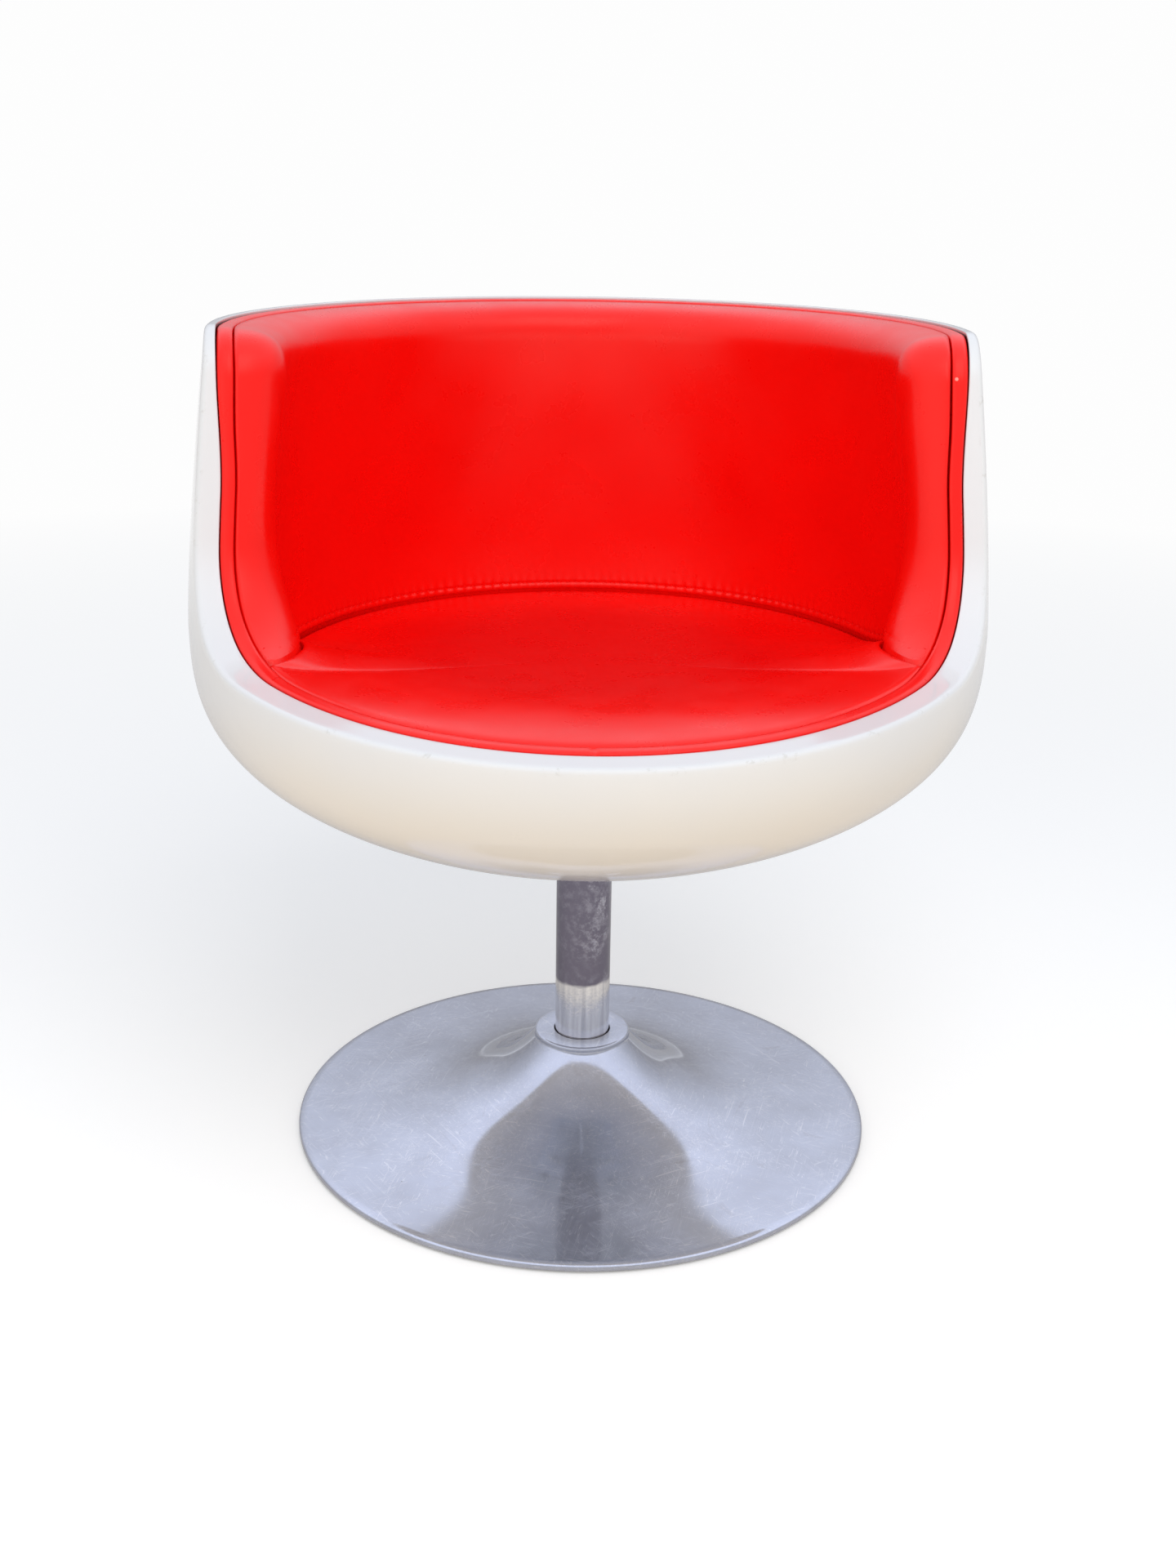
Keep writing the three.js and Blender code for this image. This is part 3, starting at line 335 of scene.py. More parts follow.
def mouth_cut():
    """The cut of the mouth in the side view: lip line, sweep's arc, leaning side edge, corner's arc and level top, as
    closely spaced (y, z) points, the unit normals into the shell and the length travelled."""
    lip = np.array([math.sin(LIP_SLOPE), -math.cos(LIP_SLOPE)])
    edge = np.array([math.cos(SIDE_LEAN), -math.sin(SIDE_LEAN)])
    top = np.array([0.0, -1.0])
    on_lip = np.array([-SHELL_R, LIP_FRONT_Z])
    on_edge = np.array([MOUTH_TOP_Y, RIM_Z])
    sweep = line_crossing(on_lip, on_edge, lip, edge, -SWEEP_R)
    corner = line_crossing(on_edge, on_edge, edge, top, CORNER_R)

    def straight(start, end, normal):
        count = int(np.hypot(*(end - start)) / FINE)
        t = np.linspace(0, 1, count, endpoint=False)[:, None]
        return start + t * (end - start), np.broadcast_to(normal, (count, 2))

    def arc(middle, radius, start, end, side):
        a, b = math.atan2(start[1], start[0]), math.atan2(end[1], end[0])
        count = int(abs(b - a) * radius / FINE)
        angle = np.linspace(a, b, count, endpoint=False)
        normal = np.stack([np.cos(angle), np.sin(angle)], -1)
        return middle + side * radius * normal, normal

    lip_end, edge_start = sweep + SWEEP_R * lip, sweep + SWEEP_R * edge
    edge_end, top_start = corner - CORNER_R * edge, corner - CORNER_R * top
    lip_start = lip_end - np.array([math.cos(LIP_SLOPE), math.sin(LIP_SLOPE)]) * SHELL_R
    stretches = [
        straight(lip_start, lip_end, lip),
        arc(sweep, SWEEP_R, lip, edge, 1),
        straight(edge_start, edge_end, edge),
        arc(corner, CORNER_R, edge, top, -1),
        straight(top_start, top_start + np.array([1.5 * SHELL_R, 0]), top),
    ]
    points = np.concatenate([points for points, _ in stretches])
    normals = np.concatenate([normals for _, normals in stretches])
    travelled = np.append(0, np.cumsum(np.hypot(*np.diff(points, axis=0).T)))
    return points, normals, travelled


CUT, CUT_INTO, CUT_PLACE = mouth_cut()


def mouth_half(inset, depth, shares):
    """The right half of the loop where a surface inset from the shell's outside meets the cut moved by a depth: at a
    share of the way along the cut, x is the root of the squared radius less the squared y."""
    y, z = (CUT + depth * CUT_INTO).T
    inset_at = inset if callable(inset) else lambda height: inset
    room = (shell_radius(z) - inset_at(z)) ** 2 - y**2
    inside = np.flatnonzero(room > 0)
    first, last = inside[0], inside[-1]
    ends = [
        CUT_PLACE[first] - FINE * room[first] / (room[first] - room[first - 1]),
        CUT_PLACE[last] + FINE * room[last] / (room[last] - room[last + 1]),
    ]
    place = ends[0] + (ends[1] - ends[0]) * shares
    y, z = np.interp(place, CUT_PLACE, y), np.interp(place, CUT_PLACE, z)
    x = np.sqrt(np.clip((shell_radius(z) - inset_at(z)) ** 2 - y**2, 0, None))
    x[0] = x[-1] = 0
    return np.stack([x, y, z], -1)


def mouth_shares(count):
    """Shares of the cut for stations that lie evenly along the mouth in space."""
    dense = (1 - np.cos(np.linspace(0, math.pi, 6000))) / 2
    trail = mouth_half(FLANGE_SIDE, 0, dense)
    length = np.append(0, np.cumsum(np.linalg.norm(np.diff(trail, axis=0), axis=1)))
    return np.interp(np.linspace(0, length[-1], count + 1), length, dense)


SHARES = mouth_shares(HALF_COLUMNS)


def whole(half):
    """The right half of one loop or of many, followed by its mirror image, front middle to back middle and round."""
    mirrored = half[..., -2:0:-1, :] * np.array([-1, 1, 1])
    return np.concatenate([half, mirrored], axis=-2)


def angle_of(points):
    return np.arctan2(points[..., 1], points[..., 0])


def cup_point(angle, z, inset):
    """A point inset from the shell's outside at an angle round the cup and a height."""
    radius = shell_radius(z) - inset
    return np.stack(np.broadcast_arrays(radius * np.cos(angle), radius * np.sin(angle), z), -1)


# ---------- shell ----------
def wall_rows(edge, radius_at, low_z, rows):
    """Rows of a cup wall under a half loop: each column starts evenly spaced at the bottom and drifts to its place on
    the edge with the share of the way up, measured along the wall."""
    heights = np.linspace(low_z, RIM_Z, 800)
    run = np.append(0, np.cumsum(np.hypot(np.diff(heights), np.diff(radius_at(heights)))))
    share = np.linspace(0, 1, rows, endpoint=False)[:, None]
    z = np.interp(share * np.interp(edge[:, 2], heights, run)[None, :], run, heights)
    even = np.linspace(-math.pi / 2, math.pi / 2, len(edge))[None, :]
    angle = even + (angle_of(edge)[None, :] - even) * share**1.5
    radius = radius_at(z)
    return np.stack([radius * np.cos(angle), radius * np.sin(angle), z], -1)


def floor_rows(wall_row, shares):
    """Flat rows from near the middle of the cup's floor out to the first row of its wall."""
    return [np.stack([wall_row[:, 0] * s, wall_row[:, 1] * s, wall_row[:, 2]], -1) for s in shares]


def inner_radius(z):
    """Radius of the wall's inside: the outside moved square to itself by the wall's thickness."""
    heights = np.linspace(FLAT_Z, RIM_Z, 800)
    outside = shell_radius(heights)
    along_r, along_z = np.gradient(outside), np.gradient(heights)
    slant = np.hypot(along_r, along_z)
    return np.interp(z, heights + SHELL_WALL * along_r / slant, outside - SHELL_WALL * along_z / slant)


def make_shell(material):
    """The cup's skin: floor, outer wall, rounded outer edge, flat flange, its inner edge and underside, inner wall."""
    edge = mouth_half(0, RIM_EDGE, SHARES)
    outer = wall_rows(edge, shell_radius, FLAT_Z, 66)
    half = floor_rows(outer[0], [0.02, 0.5, 0.9, 0.97]) + list(outer)
    turn = np.radians(np.linspace(0, 90, 6))
    rounded = [(RIM_EDGE * (1 - math.cos(t)), RIM_EDGE * (1 - math.sin(t))) for t in turn]
    half += [mouth_half(inset, depth, SHARES) for inset, depth in rounded]
    worn = [0] * (4 + len(outer)) + [math.sin(2 * t) * 0.6 + 0.4 for t in turn]
    for share in np.linspace(0.15, 0.85, 6):
        reach = lambda z, s=share: RIM_EDGE + (flange_width(z) - RIM_EDGE - RIM_LIP) * s
        half.append(mouth_half(reach, 0, SHARES))
    for t in np.radians(np.linspace(0, 90, 4)):
        tuck = lambda z, t=t: flange_width(z) - RIM_LIP * (1 - math.sin(t))
        half.append(mouth_half(tuck, RIM_LIP * (1 - math.cos(t)), SHARES))
    half.append(mouth_half(flange_width, SHELL_WALL, SHARES))
    inside_edge = mouth_half(lambda z: across(z, SHELL_WALL), SHELL_WALL, SHARES)
    inner = wall_rows(inside_edge, inner_radius, FLAT_Z + SHELL_WALL, 22)
    half.append(inside_edge)
    half += list(inner[::-1]) + floor_rows(inner[0], [0.6, 0.02])
    worn += [0] * (len(half) - len(worn))
    loops = whole(np.array(half))
    wear = np.repeat(np.array(worn)[:, None], loops.shape[1], axis=1)
    piece = skin("cup_shell", loops, attributes={"edge_wear": wear})
    return dress(piece, "seat", material, "shell_gloss", "outer_shell", "back_liner", "seat_board")


# ---------- upholstery ----------
def border_outer(z):
    """How far in from the shell's outside the edge band starts."""
    return flange_width(z) + BORDER_GAP


def border_wide(z):
    """Width of the edge band that shows: even but for a pinch down the sides."""
    return BORDER_WIDE - BORDER_PINCH * step(z, *PINCH_IN_Z) * (1 - step(z, *PINCH_OUT_Z))


def border_inner(z):
    return border_outer(z) + border_wide(z)


def seam_inset(z):
    """How far in from the shell's outside the cushions meet the edge band."""
    return border_inner(z) + STRIP_GAP


def sunk(points):
    """Points by the border, let down along the top of the mouth."""
    points[..., 2] -= BORDER_SUNK * step(points[..., 2], *BORDER_SUNK_Z)
    return points


def inset_of(points):
    return shell_radius(points[..., 2]) - np.hypot(points[..., 0], points[..., 1])


def cushion(name, loops, material, stands_for, ring=False):
    """A cushion or band of vinyl that rides on the seat."""
    piece = dress(skin(name, loops, ring=ring), "seat", material, "vinyl_red", stands_for)
    return piece


def make_border(material):
    """The sewn edge band: its section is a low crown, one less a power of the distance from its middle, that turns
    under at both sides. It is carried round the mouth, with a nick in front where its ends meet."""
    share = np.linspace(0, 1, 13)
    crown = BORDER_PROUD * (1 - np.abs(2 * share - 1) ** BORDER_CROWN)
    section = [(0, BORDER_DEEP), (0, BORDER_SHOULDER)]
    section += [(s, -c) for s, c in zip(share, crown)]
    section += [(1, BORDER_SHOULDER), (1, BORDER_DEEP)]
    half = []
    for s, depth in section:
        reach = lambda z, s=s: border_outer(z) + border_wide(z) * s
        half.append(mouth_half(reach, depth, SHARES))
    rings = whole(sunk(np.array(half)))
    joint = bell(rings[..., 0], JOINT_X, JOINT_WIDE) * (rings[..., 1] < 0)
    rings[2:-2, :, 2] -= JOINT_DEEP * joint[2:-2]
    return cushion("edge_band", rings, material, "border_strip", ring=True)


SEAM = sunk(mouth_half(seam_inset, 0, SHARES))
SEAM_START = int(np.argmax(SEAM[:, 1] > SEAM_END_Y))
SEAM_ANGLE = float(angle_of(SEAM[SEAM_START]))
SEAM_TOP_Z = float(SEAM[SEAM_START, 2])
BACK_COLUMNS = HALF_COLUMNS - SEAM_START
COLUMN_ANGLES = np.linspace(SEAM_ANGLE, math.pi / 2, BACK_COLUMNS + 1)
UNROLLED_R = SHELL_R - LINING_DEEP


def seam_height(angle):
    """Height of the seam between back and seat: level round the back, then a smooth climb to its ends."""
    share = (math.pi / 2 - angle) / (math.pi / 2 - SEAM_ANGLE)
    return SEAM_BACK_Z + (SEAM_TOP_Z - SEAM_BACK_Z) * step(share, *SEAM_CLIMB)


def nearest_border(angle, z):
    """Distance to the border's seam on the unrolled cup, and the direction out of the mouth there."""
    marks = np.stack([angle_of(SEAM) * UNROLLED_R, SEAM[:, 2]], -1)
    start, along = marks[:-1], np.diff(marks, axis=0)
    out = np.stack([-np.diff(SEAM[:, 2]), np.diff(SEAM[:, 1])], -1)
    out /= np.linalg.norm(out, axis=1)[:, None]
    spot = np.stack([angle * UNROLLED_R, z], -1)
    distance = np.empty(angle.shape)
    direction = np.empty(angle.shape + (2,))
    for row in range(len(angle)):
        lead = spot[row][:, None, :] - start
        share = np.clip((lead * along).sum(-1) / (along**2).sum(-1), 0, 1)
        gap = np.linalg.norm(lead - share[..., None] * along, axis=-1)
        nearest = gap.argmin(1)
        distance[row] = gap[np.arange(len(nearest)), nearest]
        direction[row] = out[nearest]
    return distance, direction


def lining_depth(angle, z):
    """Depth of the lining: even all round, with a bell-shaped swelling by the ends of the back's seam."""
    away = np.hypot((angle - CORNER_ANGLE) * UNROLLED_R, z - SEAM_TOP_Z)
    return LINING_DEEP + CORNER_FULL * bell(away, 0, CORNER_SPREAD)


def back_face(angle, z, gap=0.0):
    """The back cushion's face: a quarter round from the border's seam to the full depth over the width of the roll, a
    little proud of the mouth on the way, less so where it runs out towards the seat's seam."""
    distance, direction = nearest_border(angle, z)
    share = np.clip(distance / BACK_ROLL, 0, 1)
    deepening = np.sqrt(1 - (1 - share) ** 2)
    inset = seam_inset(z) + (lining_depth(angle, z) - seam_inset(z)) * deepening + gap
    fullness = step(z - seam_height(angle), 0, 2 * BACK_ROLL)
    proud = 4 * BACK_ROLL_PROUD * share * (1 - share) * fullness
    point = cup_point(angle, z, inset)
    point[..., 1:] += direction * proud[..., None]
    return cup_point(angle_of(point), point[..., 2], inset)


def back_section_shares(length):
    """Shares of each section from the seat's seam to the border: close over the hem, then even, then closer over the
    roll."""
    length = np.maximum(length, 1e-6)
    roll = np.minimum(BACK_ROLL / length, 0.7)
    hem = np.minimum(2 * HEM_RISE / length, 0.2)
    sewn = np.linspace(0, 1, HEM_ROWS, endpoint=False)[:, None] * hem
    flat = hem + np.linspace(0, 1, FLAT_ROWS, endpoint=False)[:, None] * (1 - roll - hem)
    curl = 1 - np.linspace(1, 0, ROLL_ROWS)[:, None] ** 1.6 * roll
    return np.concatenate([sewn, flat, curl])


def sewn_relief(angle, rise):
    """How far the back's vinyl stands off its plain form. It is tucked in at the seam by a falling power of e, drawn
    in along the stitches by a bell curve and puckered about them by a sine in a bell curve. At the upper corner runs a
    drag fold, one bell curve less another, and all over lie sums of long sines."""
    along = angle * UNROLLED_R
    tuck = -HEM_TUCK * np.exp(-rise / HEM_SOFT)
    drawn = -STITCH_DRAW * bell(rise, HEM_RISE, STITCH_SOFT)
    swing = np.sin(2 * math.pi * (along + PUCKER_STRAY * np.sin(along / 31)) / PUCKER)
    puckers = PUCKER_HIGH * swing * bell(rise, HEM_RISE, PUCKER_REACH) * (1 - np.exp(-rise / PUCKER_ROOT))
    from_top, above = along - FOLD_TOP[0], rise - FOLD_TOP[1]
    run = from_top * FOLD_RUN[0] + above * FOLD_RUN[1]
    off = from_top * FOLD_RUN[1] - above * FOLD_RUN[0]
    fold = bell(off, 0, FOLD_WIDE) - HOLLOW_DEEP * bell(off, HOLLOW_AWAY, FOLD_WIDE)
    fold *= FOLD_HIGH * step(run, *FOLD_IN) * (1 - step(run, *FOLD_OUT))
    waves = np.sin(along / 41 + rise / 57) * np.sin(rise / 33 - along / 83 + 1) + 0.6 * np.sin(along / 19 - rise / 27)
    return tuck + drawn + puckers + fold + WAVES_HIGH * waves * step(rise, *WAVES_IN)


def make_back(material):
    """The wraparound back cushion: face from the seat's seam over the roll to the border, then its hidden back."""
    edge = SEAM[SEAM_START:]
    seam = seam_height(COLUMN_ANGLES)
    run = np.hypot((angle_of(edge) - COLUMN_ANGLES) * UNROLLED_R, edge[:, 2] - seam)
    v = back_section_shares(run)
    angle = COLUMN_ANGLES + (angle_of(edge) - COLUMN_ANGLES) * v
    z = seam + (edge[:, 2] - seam) * v
    face = back_face(angle, z)
    calm = step(nearest_border(angle, z)[0], 0, BACK_ROLL)
    relief = sewn_relief(angle, z - seam) * calm
    face = cup_point(angle_of(face), face[..., 2], inset_of(face) + relief)
    foot = cup_point(COLUMN_ANGLES, np.full_like(seam, BOARD_TOP_Z), inset_of(face[0]))
    deep = BORDER_DEEP + 2.0
    under = mouth_half(seam_inset, deep, SHARES)[SEAM_START:]
    behind = mouth_half(lambda h: across(h, LINER_BACK), deep, SHARES)[SEAM_START:]
    shoulder_z = np.minimum(seam, behind[:, 2] - 1)
    shoulder = cup_point(COLUMN_ANGLES, shoulder_z, across(shoulder_z, LINER_BACK))
    low = np.full_like(seam, BOARD_TOP_Z)
    bottom = cup_point(COLUMN_ANGLES, low, across(low, LINER_BACK))
    right = np.array([bottom, foot, *face, under, behind, shoulder]).transpose(1, 0, 2)
    left = right[:-1] * np.array([-1, 1, 1])
    sections = np.concatenate([left, right[::-1]])
    return cushion("back_pad", sections, material, "back_cushion")


def make_stitches(material):
    """The stitches above the back's seam: a row of short spindles, each lying along the seam in its drawn-in line."""
    span = 2 * (math.pi / 2 - SEAM_ANGLE) * UNROLLED_R
    middle = np.linspace(0, span, int(span / STITCH_PITCH))[2:-2] / UNROLLED_R + SEAM_ANGLE
    right = np.where(middle > math.pi / 2, math.pi - middle, middle)

    def spot(angle):
        height = seam_height(angle) + HEM_RISE
        point = back_face(angle[None, :], height[None, :])[0]
        relief = sewn_relief(angle, np.full_like(angle, HEM_RISE))
        return cup_point(angle_of(point), point[:, 2], inset_of(point) + relief + STITCH_PROUD)

    centre, ahead = spot(right), spot(right + 0.004)
    along = (ahead - centre) / np.linalg.norm(ahead - centre, axis=1)[:, None]
    inward = -centre * np.array([1, 1, 0])
    inward /= np.linalg.norm(inward, axis=1)[:, None]
    across_it = np.cross(along, inward)
    turn = np.linspace(0, 2 * math.pi, 6, endpoint=False)
    rings = []
    for place, girth in STITCH_FORM:
        ring = [across_it * math.cos(t) + inward * math.sin(t) for t in turn]
        ring = np.stack(ring, 1) * girth * STITCH_R
        rings.append(centre[:, None] + ring + along[:, None] * place * STITCH_LONG)
    loops = np.stack(rings, 1)
    loops[middle > math.pi / 2, ..., 0] *= -1
    return dress(skins("seam_stitches", loops), "seat", material, "vinyl_red")


def seat_edge():
    """The seat cushion's edge on the right half: along the border in front, along the back cushion behind."""
    angle = COLUMN_ANGLES[None, :]
    back = back_face(angle, seam_height(angle) - SEAM_UNDER, SEAM_GAP)[0]
    return np.concatenate([SEAM[:SEAM_START], back])


def make_seat(material):
    """The seat cushion: rings from the middle to the edge. Its height runs from the middle's to the edge's, taken as
    an average along the edge, by a power of the share; what the edge differs from that average comes in by a steeper
    power. Along the front a long swell rises from the border and sinks again to the middle. Then come sides that draw
    in down to the board."""
    edge = whole(seat_edge())
    middle = np.array([0, (edge[0, 1] + edge[HALF_COLUMNS, 1]) / 2, SEAT_MIDDLE_Z])
    close = 0.09  # share of the way that the close rings by the edge take up
    share = np.concatenate([np.linspace(0.04, 0.9, 26), 1 - np.linspace(close, 0, 12) ** 1.5 / close**0.5])
    share = share[:, None]
    front = step(-edge[:, 1], *SWELL_IN_Y) * (1 - step(edge[:, 2], LIP_FRONT_Z, LIP_FRONT_Z + SWELL_OUT))
    reach = np.linalg.norm(edge - middle, axis=1)[None, :]
    from_edge = (1 - share) * reach
    swell = 1 - (1 - np.clip(from_edge / SWELL_REACH, 0, 1)) ** SWELL_ROUND
    swell *= 1 - step(from_edge, 0.8 * SWELL_REACH, reach)
    top = middle + share[..., None] * (edge - middle)
    window = np.hanning(2 * SEAT_EVEN + 1)
    round_edge = np.concatenate([edge[-SEAT_EVEN:, 2], edge[:, 2], edge[:SEAT_EVEN, 2]])
    level = np.convolve(round_edge, window / window.sum(), "valid")
    rise = (level - SEAT_MIDDLE_Z) * share**SEAT_DISH + (edge[:, 2] - level) * share**SEAT_RIM
    top[..., 2] = SEAT_MIDDLE_Z + rise + SEAT_CROWN * front * swell
    x, y = top[..., 0], top[..., 1]
    top[..., 2] += SEAT_WAVE * np.sin(x / 37 + y / 61) * np.sin(y / 29 - x / 71 + 2) * step(from_edge, 10, 60)
    top[..., 2] -= EDGE_TUCK * np.exp(-from_edge / EDGE_SOFT)
    right = np.arctan2(edge[:, 1], np.abs(edge[:, 0]))
    clear = step(SEAM_ANGLE - right, math.radians(1), SEAT_STEP)
    under_edge, halfway = SEAM_BACK_Z - EDGE_TUCK - 8, (BOARD_TOP_Z + SEAM_BACK_Z) / 2
    sides = []
    for z, draw in [(under_edge, 1.0), (halfway, 4.0), (BOARD_TOP_Z, SEAT_DRAW_IN)]:
        deep = lining_depth(right, edge[:, 2]) + 1
        inset = deep + (seam_inset(edge[:, 2]) - deep) * clear + draw
        side = cup_point(right, np.full(len(edge), z), inset)
        side[:, 0] *= np.sign(edge[:, 0])
        sides.append(side)
    return cushion("seat_pad", np.array([*top, *sides]), material, "seat_cushion")


# ---------- base and column ----------
def trumpet_height(radius):
    """Height of the disc at a radius: an even slope and steeper powers of the share of the way in to the collar."""
    share = np.clip((BASE_R - radius) / (BASE_R - COLLAR_R), 0, None)
    return BASE_EDGE_Z + sum(rise * share**power for rise, power in TRUMPET)


def squared(radius, angle):
    """Radius on the trumpet that a place takes its height from: level lines near the hub are rounded squares."""
    a = angle - HUB_TURN
    level = (np.abs(np.cos(a)) ** HUB_SQUARE + np.abs(np.sin(a)) ** HUB_SQUARE) ** (1 / HUB_SQUARE)
    ridge = 2 ** (1 / HUB_SQUARE - 1 / 2)
    return radius * (1 + HUB_FLAT * (level / ridge - 1) * (1 - step(radius, *HUB_FADE)))


def make_base(material):
    """The cast disc: socket, collar with a rounded lip, trumpet with four faint flats, thin edge, hollow underside."""
    angle = np.linspace(0, 2 * math.pi, BASE_COLUMNS, endpoint=False)

    def circle(radius, z):
        return np.stack([radius * np.cos(angle), radius * np.sin(angle), np.full_like(angle, z)], -1)

    def swept(radius, drop):
        z = trumpet_height(squared(radius, angle)) - drop
        return np.stack([radius * np.cos(angle), radius * np.sin(angle), z], -1)

    lip = COLLAR_ROUND / 2
    profile = [(SOCKET_R, SOCKET_FLOOR), (SOCKET_R, 60), (SOCKET_R, COLLAR_TOP - lip)]
    profile += fillet((SOCKET_R + lip, COLLAR_TOP - lip), lip, 165, 90, 5)
    profile += fillet((COLLAR_R - COLLAR_ROUND, COLLAR_TOP - COLLAR_ROUND), COLLAR_ROUND, 90, 0, 7)
    profile += [(COLLAR_R, COLLAR_LOW + 1.5)]
    rows = [circle(radius, z) for radius, z in profile]
    above, below = BASE_EDGE_ROUND
    for share in np.linspace(0, 1, 56) ** 1.5:
        rows.append(swept(COLLAR_R + (BASE_R - above - COLLAR_R) * share, 0))
    rim = fillet((BASE_R - above, BASE_EDGE_Z - above - 0.2), above, 90, 0, 6)[1:]
    rim += fillet((BASE_R - below, BASE_EDGE_LOW + below), below, 0, -90, 4)
    inner, outer = RING_GROOVE
    rim += [(outer, BASE_EDGE_LOW), (outer, RING_GROOVE_TOP), (inner, RING_GROOVE_TOP), (inner, BASE_EDGE_LOW)]
    hollow_from, hollow_to = inner - BASE_WALL, BOSS_R + 2 * BASE_WALL
    rim += [(hollow_from, BASE_EDGE_LOW)]
    rows += [circle(radius, z) for radius, z in rim]
    for share in np.linspace(0, 1, 18) ** 0.7:
        rows.append(swept(hollow_from + (hollow_to - hollow_from) * share, BASE_WALL))
    boss = [(BOSS_R, float(trumpet_height(2 * BOSS_R)) - 3 * BASE_WALL), (BOSS_R, BOSS_LOW), (BORE_R, BOSS_LOW)]
    rows += [circle(radius, z) for radius, z in [*boss, (BORE_R, SOCKET_FLOOR)]]
    piece = skin("trumpet_base", np.array(rows), ring=True)
    return dress(piece, "base", material, "base_aluminium", "base_disc")


def make_column(material):
    """The column: an open tube with eased ends."""
    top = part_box("column_tube")[1].z / MM
    inner = COLUMN_R - COLUMN_WALL
    eased = COLUMN_R - COLUMN_EASE
    profile = [(inner, COLUMN_FOOT), (eased, COLUMN_FOOT), (COLUMN_R, COLUMN_FOOT + COLUMN_EASE)]
    profile += [(COLUMN_R, z) for z in np.linspace(COLUMN_FOOT + 4, top - 4, 24)]
    profile += [(COLUMN_R, top - COLUMN_EASE), (eased, top), (inner, top)]
    piece = skin("column", revolved(profile, 160), ring=True)
    return dress(piece, "seat", material, "column_chrome", "column_tube")


# ---------- materials ----------
def node(tree, kind, inputs=None, **settings):
    """A shader node with its settings, and its inputs set to a value or linked to a socket."""
    made = tree.nodes.new(kind)
    for key, value in settings.items():
        setattr(made, key, value)
    for key, value in (inputs or {}).items():
        if isinstance(value, bpy.types.NodeSocket):
            tree.links.new(value, made.inputs[key])
        else:
            made.inputs[key].default_value = value
    return made


def remap(tree, value, low, high, to_low=0.0, to_high=1.0):
    inputs = {"Value": value, "From Min": low, "From Max": high, "To Min": to_low, "To Max": to_high}
    return node(tree, "ShaderNodeMapRange", inputs).outputs["Result"]


def mixed(tree, factor, first, second):
    """Colour between two, by a factor."""
    mix = node(tree, "ShaderNodeMix", data_type="RGBA")
    for socket, value in ((mix.inputs[0], factor), (mix.inputs[6], first), (mix.inputs[7], second)):
        if isinstance(value, bpy.types.NodeSocket):
            tree.links.new(value, socket)
        else:
            socket.default_value = value if socket.type == "VALUE" else (*value, 1)
    return mix.outputs[2]


def maths(tree, operation, *values):
    return node(tree, "ShaderNodeMath", dict(enumerate(values)), operation=operation).outputs[0]


def times(tree, first, second):
    return maths(tree, "MULTIPLY", first, second)


def noise(tree, vector, scale, detail=4.0, roughness=0.5):
    inputs = {"Vector": vector, "Scale": scale, "Detail": detail, "Roughness": roughness}
    return node(tree, "ShaderNodeTexNoise", inputs).outputs["Fac"]


def height_of(tree, place):
    return node(tree, "ShaderNodeSeparateXYZ", {0: place}).outputs["Z"]


def away_from(tree, place, spot):
    """Distance of every place from one spot."""
    return node(tree, "ShaderNodeVectorMath", {0: place, 1: spot}, operation="DISTANCE").outputs["Value"]


def group(name, inputs, outputs, build):
    """A node group with named inputs and outputs, filled in by a function."""
    tree = bpy.data.node_groups.new(name, "ShaderNodeTree")
    for label, kind, default in inputs:
        socket = tree.interface.new_socket(label, in_out="INPUT", socket_type=kind)
        if default is not None:
            socket.default_value = default
    for label, kind in outputs:
        tree.interface.new_socket(label, in_out="OUTPUT", socket_type=kind)
    given = tree.nodes.new("NodeGroupInput").outputs
    taken = tree.nodes.new("NodeGroupOutput").inputs
    for label, socket in build(tree, given).items():
        tree.links.new(socket, taken[label])
    return tree


def placed(tree, which, **inputs):
    """A node group placed in a material, with its inputs by name."""
    return node(tree, "ShaderNodeGroup", {k.replace("_", " "): v for k, v in inputs.items()}, node_tree=which).outputs


VECTOR, FLOAT = "NodeSocketVector", "NodeSocketFloat"


def specks_group():
    """Small sparse marks: cells whose random number is high enough, near their middles."""

    def build(tree, given):
        cells = node(tree, "ShaderNodeTexVoronoi", {"Vector": given["Vector"], "Scale": given["Scale"]})
        apart = node(tree, "ShaderNodeSeparateColor", {"Color": cells.outputs["Color"]})
        chosen = maths(tree, "GREATER_THAN", apart.outputs[0], given["Rarity"])
        size = times(tree, apart.outputs[1], given["Size"])
        near = maths(tree, "LESS_THAN", cells.outputs["Distance"], size)
        return {"Mask": times(tree, chosen, near)}

    inputs = [("Vector", VECTOR, None), ("Scale", FLOAT, 40.0), ("Rarity", FLOAT, 0.9), ("Size", FLOAT, 0.1)]
    return group("Specks", inputs, [("Mask", FLOAT)], build)


def scratches_group():
    """Fine straight scratches in several directions: noise stretched along one axis, kept where it is near its
    middle value, in broken stretches."""

    def build(tree, given):
        total = None
        for turn in (0.3, 1.1, 1.9, 2.6):
            rotated = node(tree, "ShaderNodeMapping", {"Vector": given["Vector"], "Rotation": (0, 0, turn)})
            stretched = node(tree, "ShaderNodeMapping", {"Vector": rotated.outputs[0], "Scale": (1, 0.02, 1)})
            lines = noise(tree, stretched.outputs[0], given["Scale"], 1.0)
            line = maths(tree, "LESS_THAN", maths(tree, "ABSOLUTE", maths(tree, "SUBTRACT", lines, 0.5)), 0.006)
            broken = maths(tree, "GREATER_THAN", noise(tree, rotated.outputs[0], 22.0, 2.0), given["Rarity"])
            kept = times(tree, line, broken)
            total = kept if total is None else maths(tree, "MAXIMUM", total, kept)
        return {"Mask": total}

    inputs = [("Vector", VECTOR, None), ("Scale", FLOAT, 60.0), ("Rarity", FLOAT, 0.5)]
    return group("Scratches", inputs, [("Mask", FLOAT)], build)


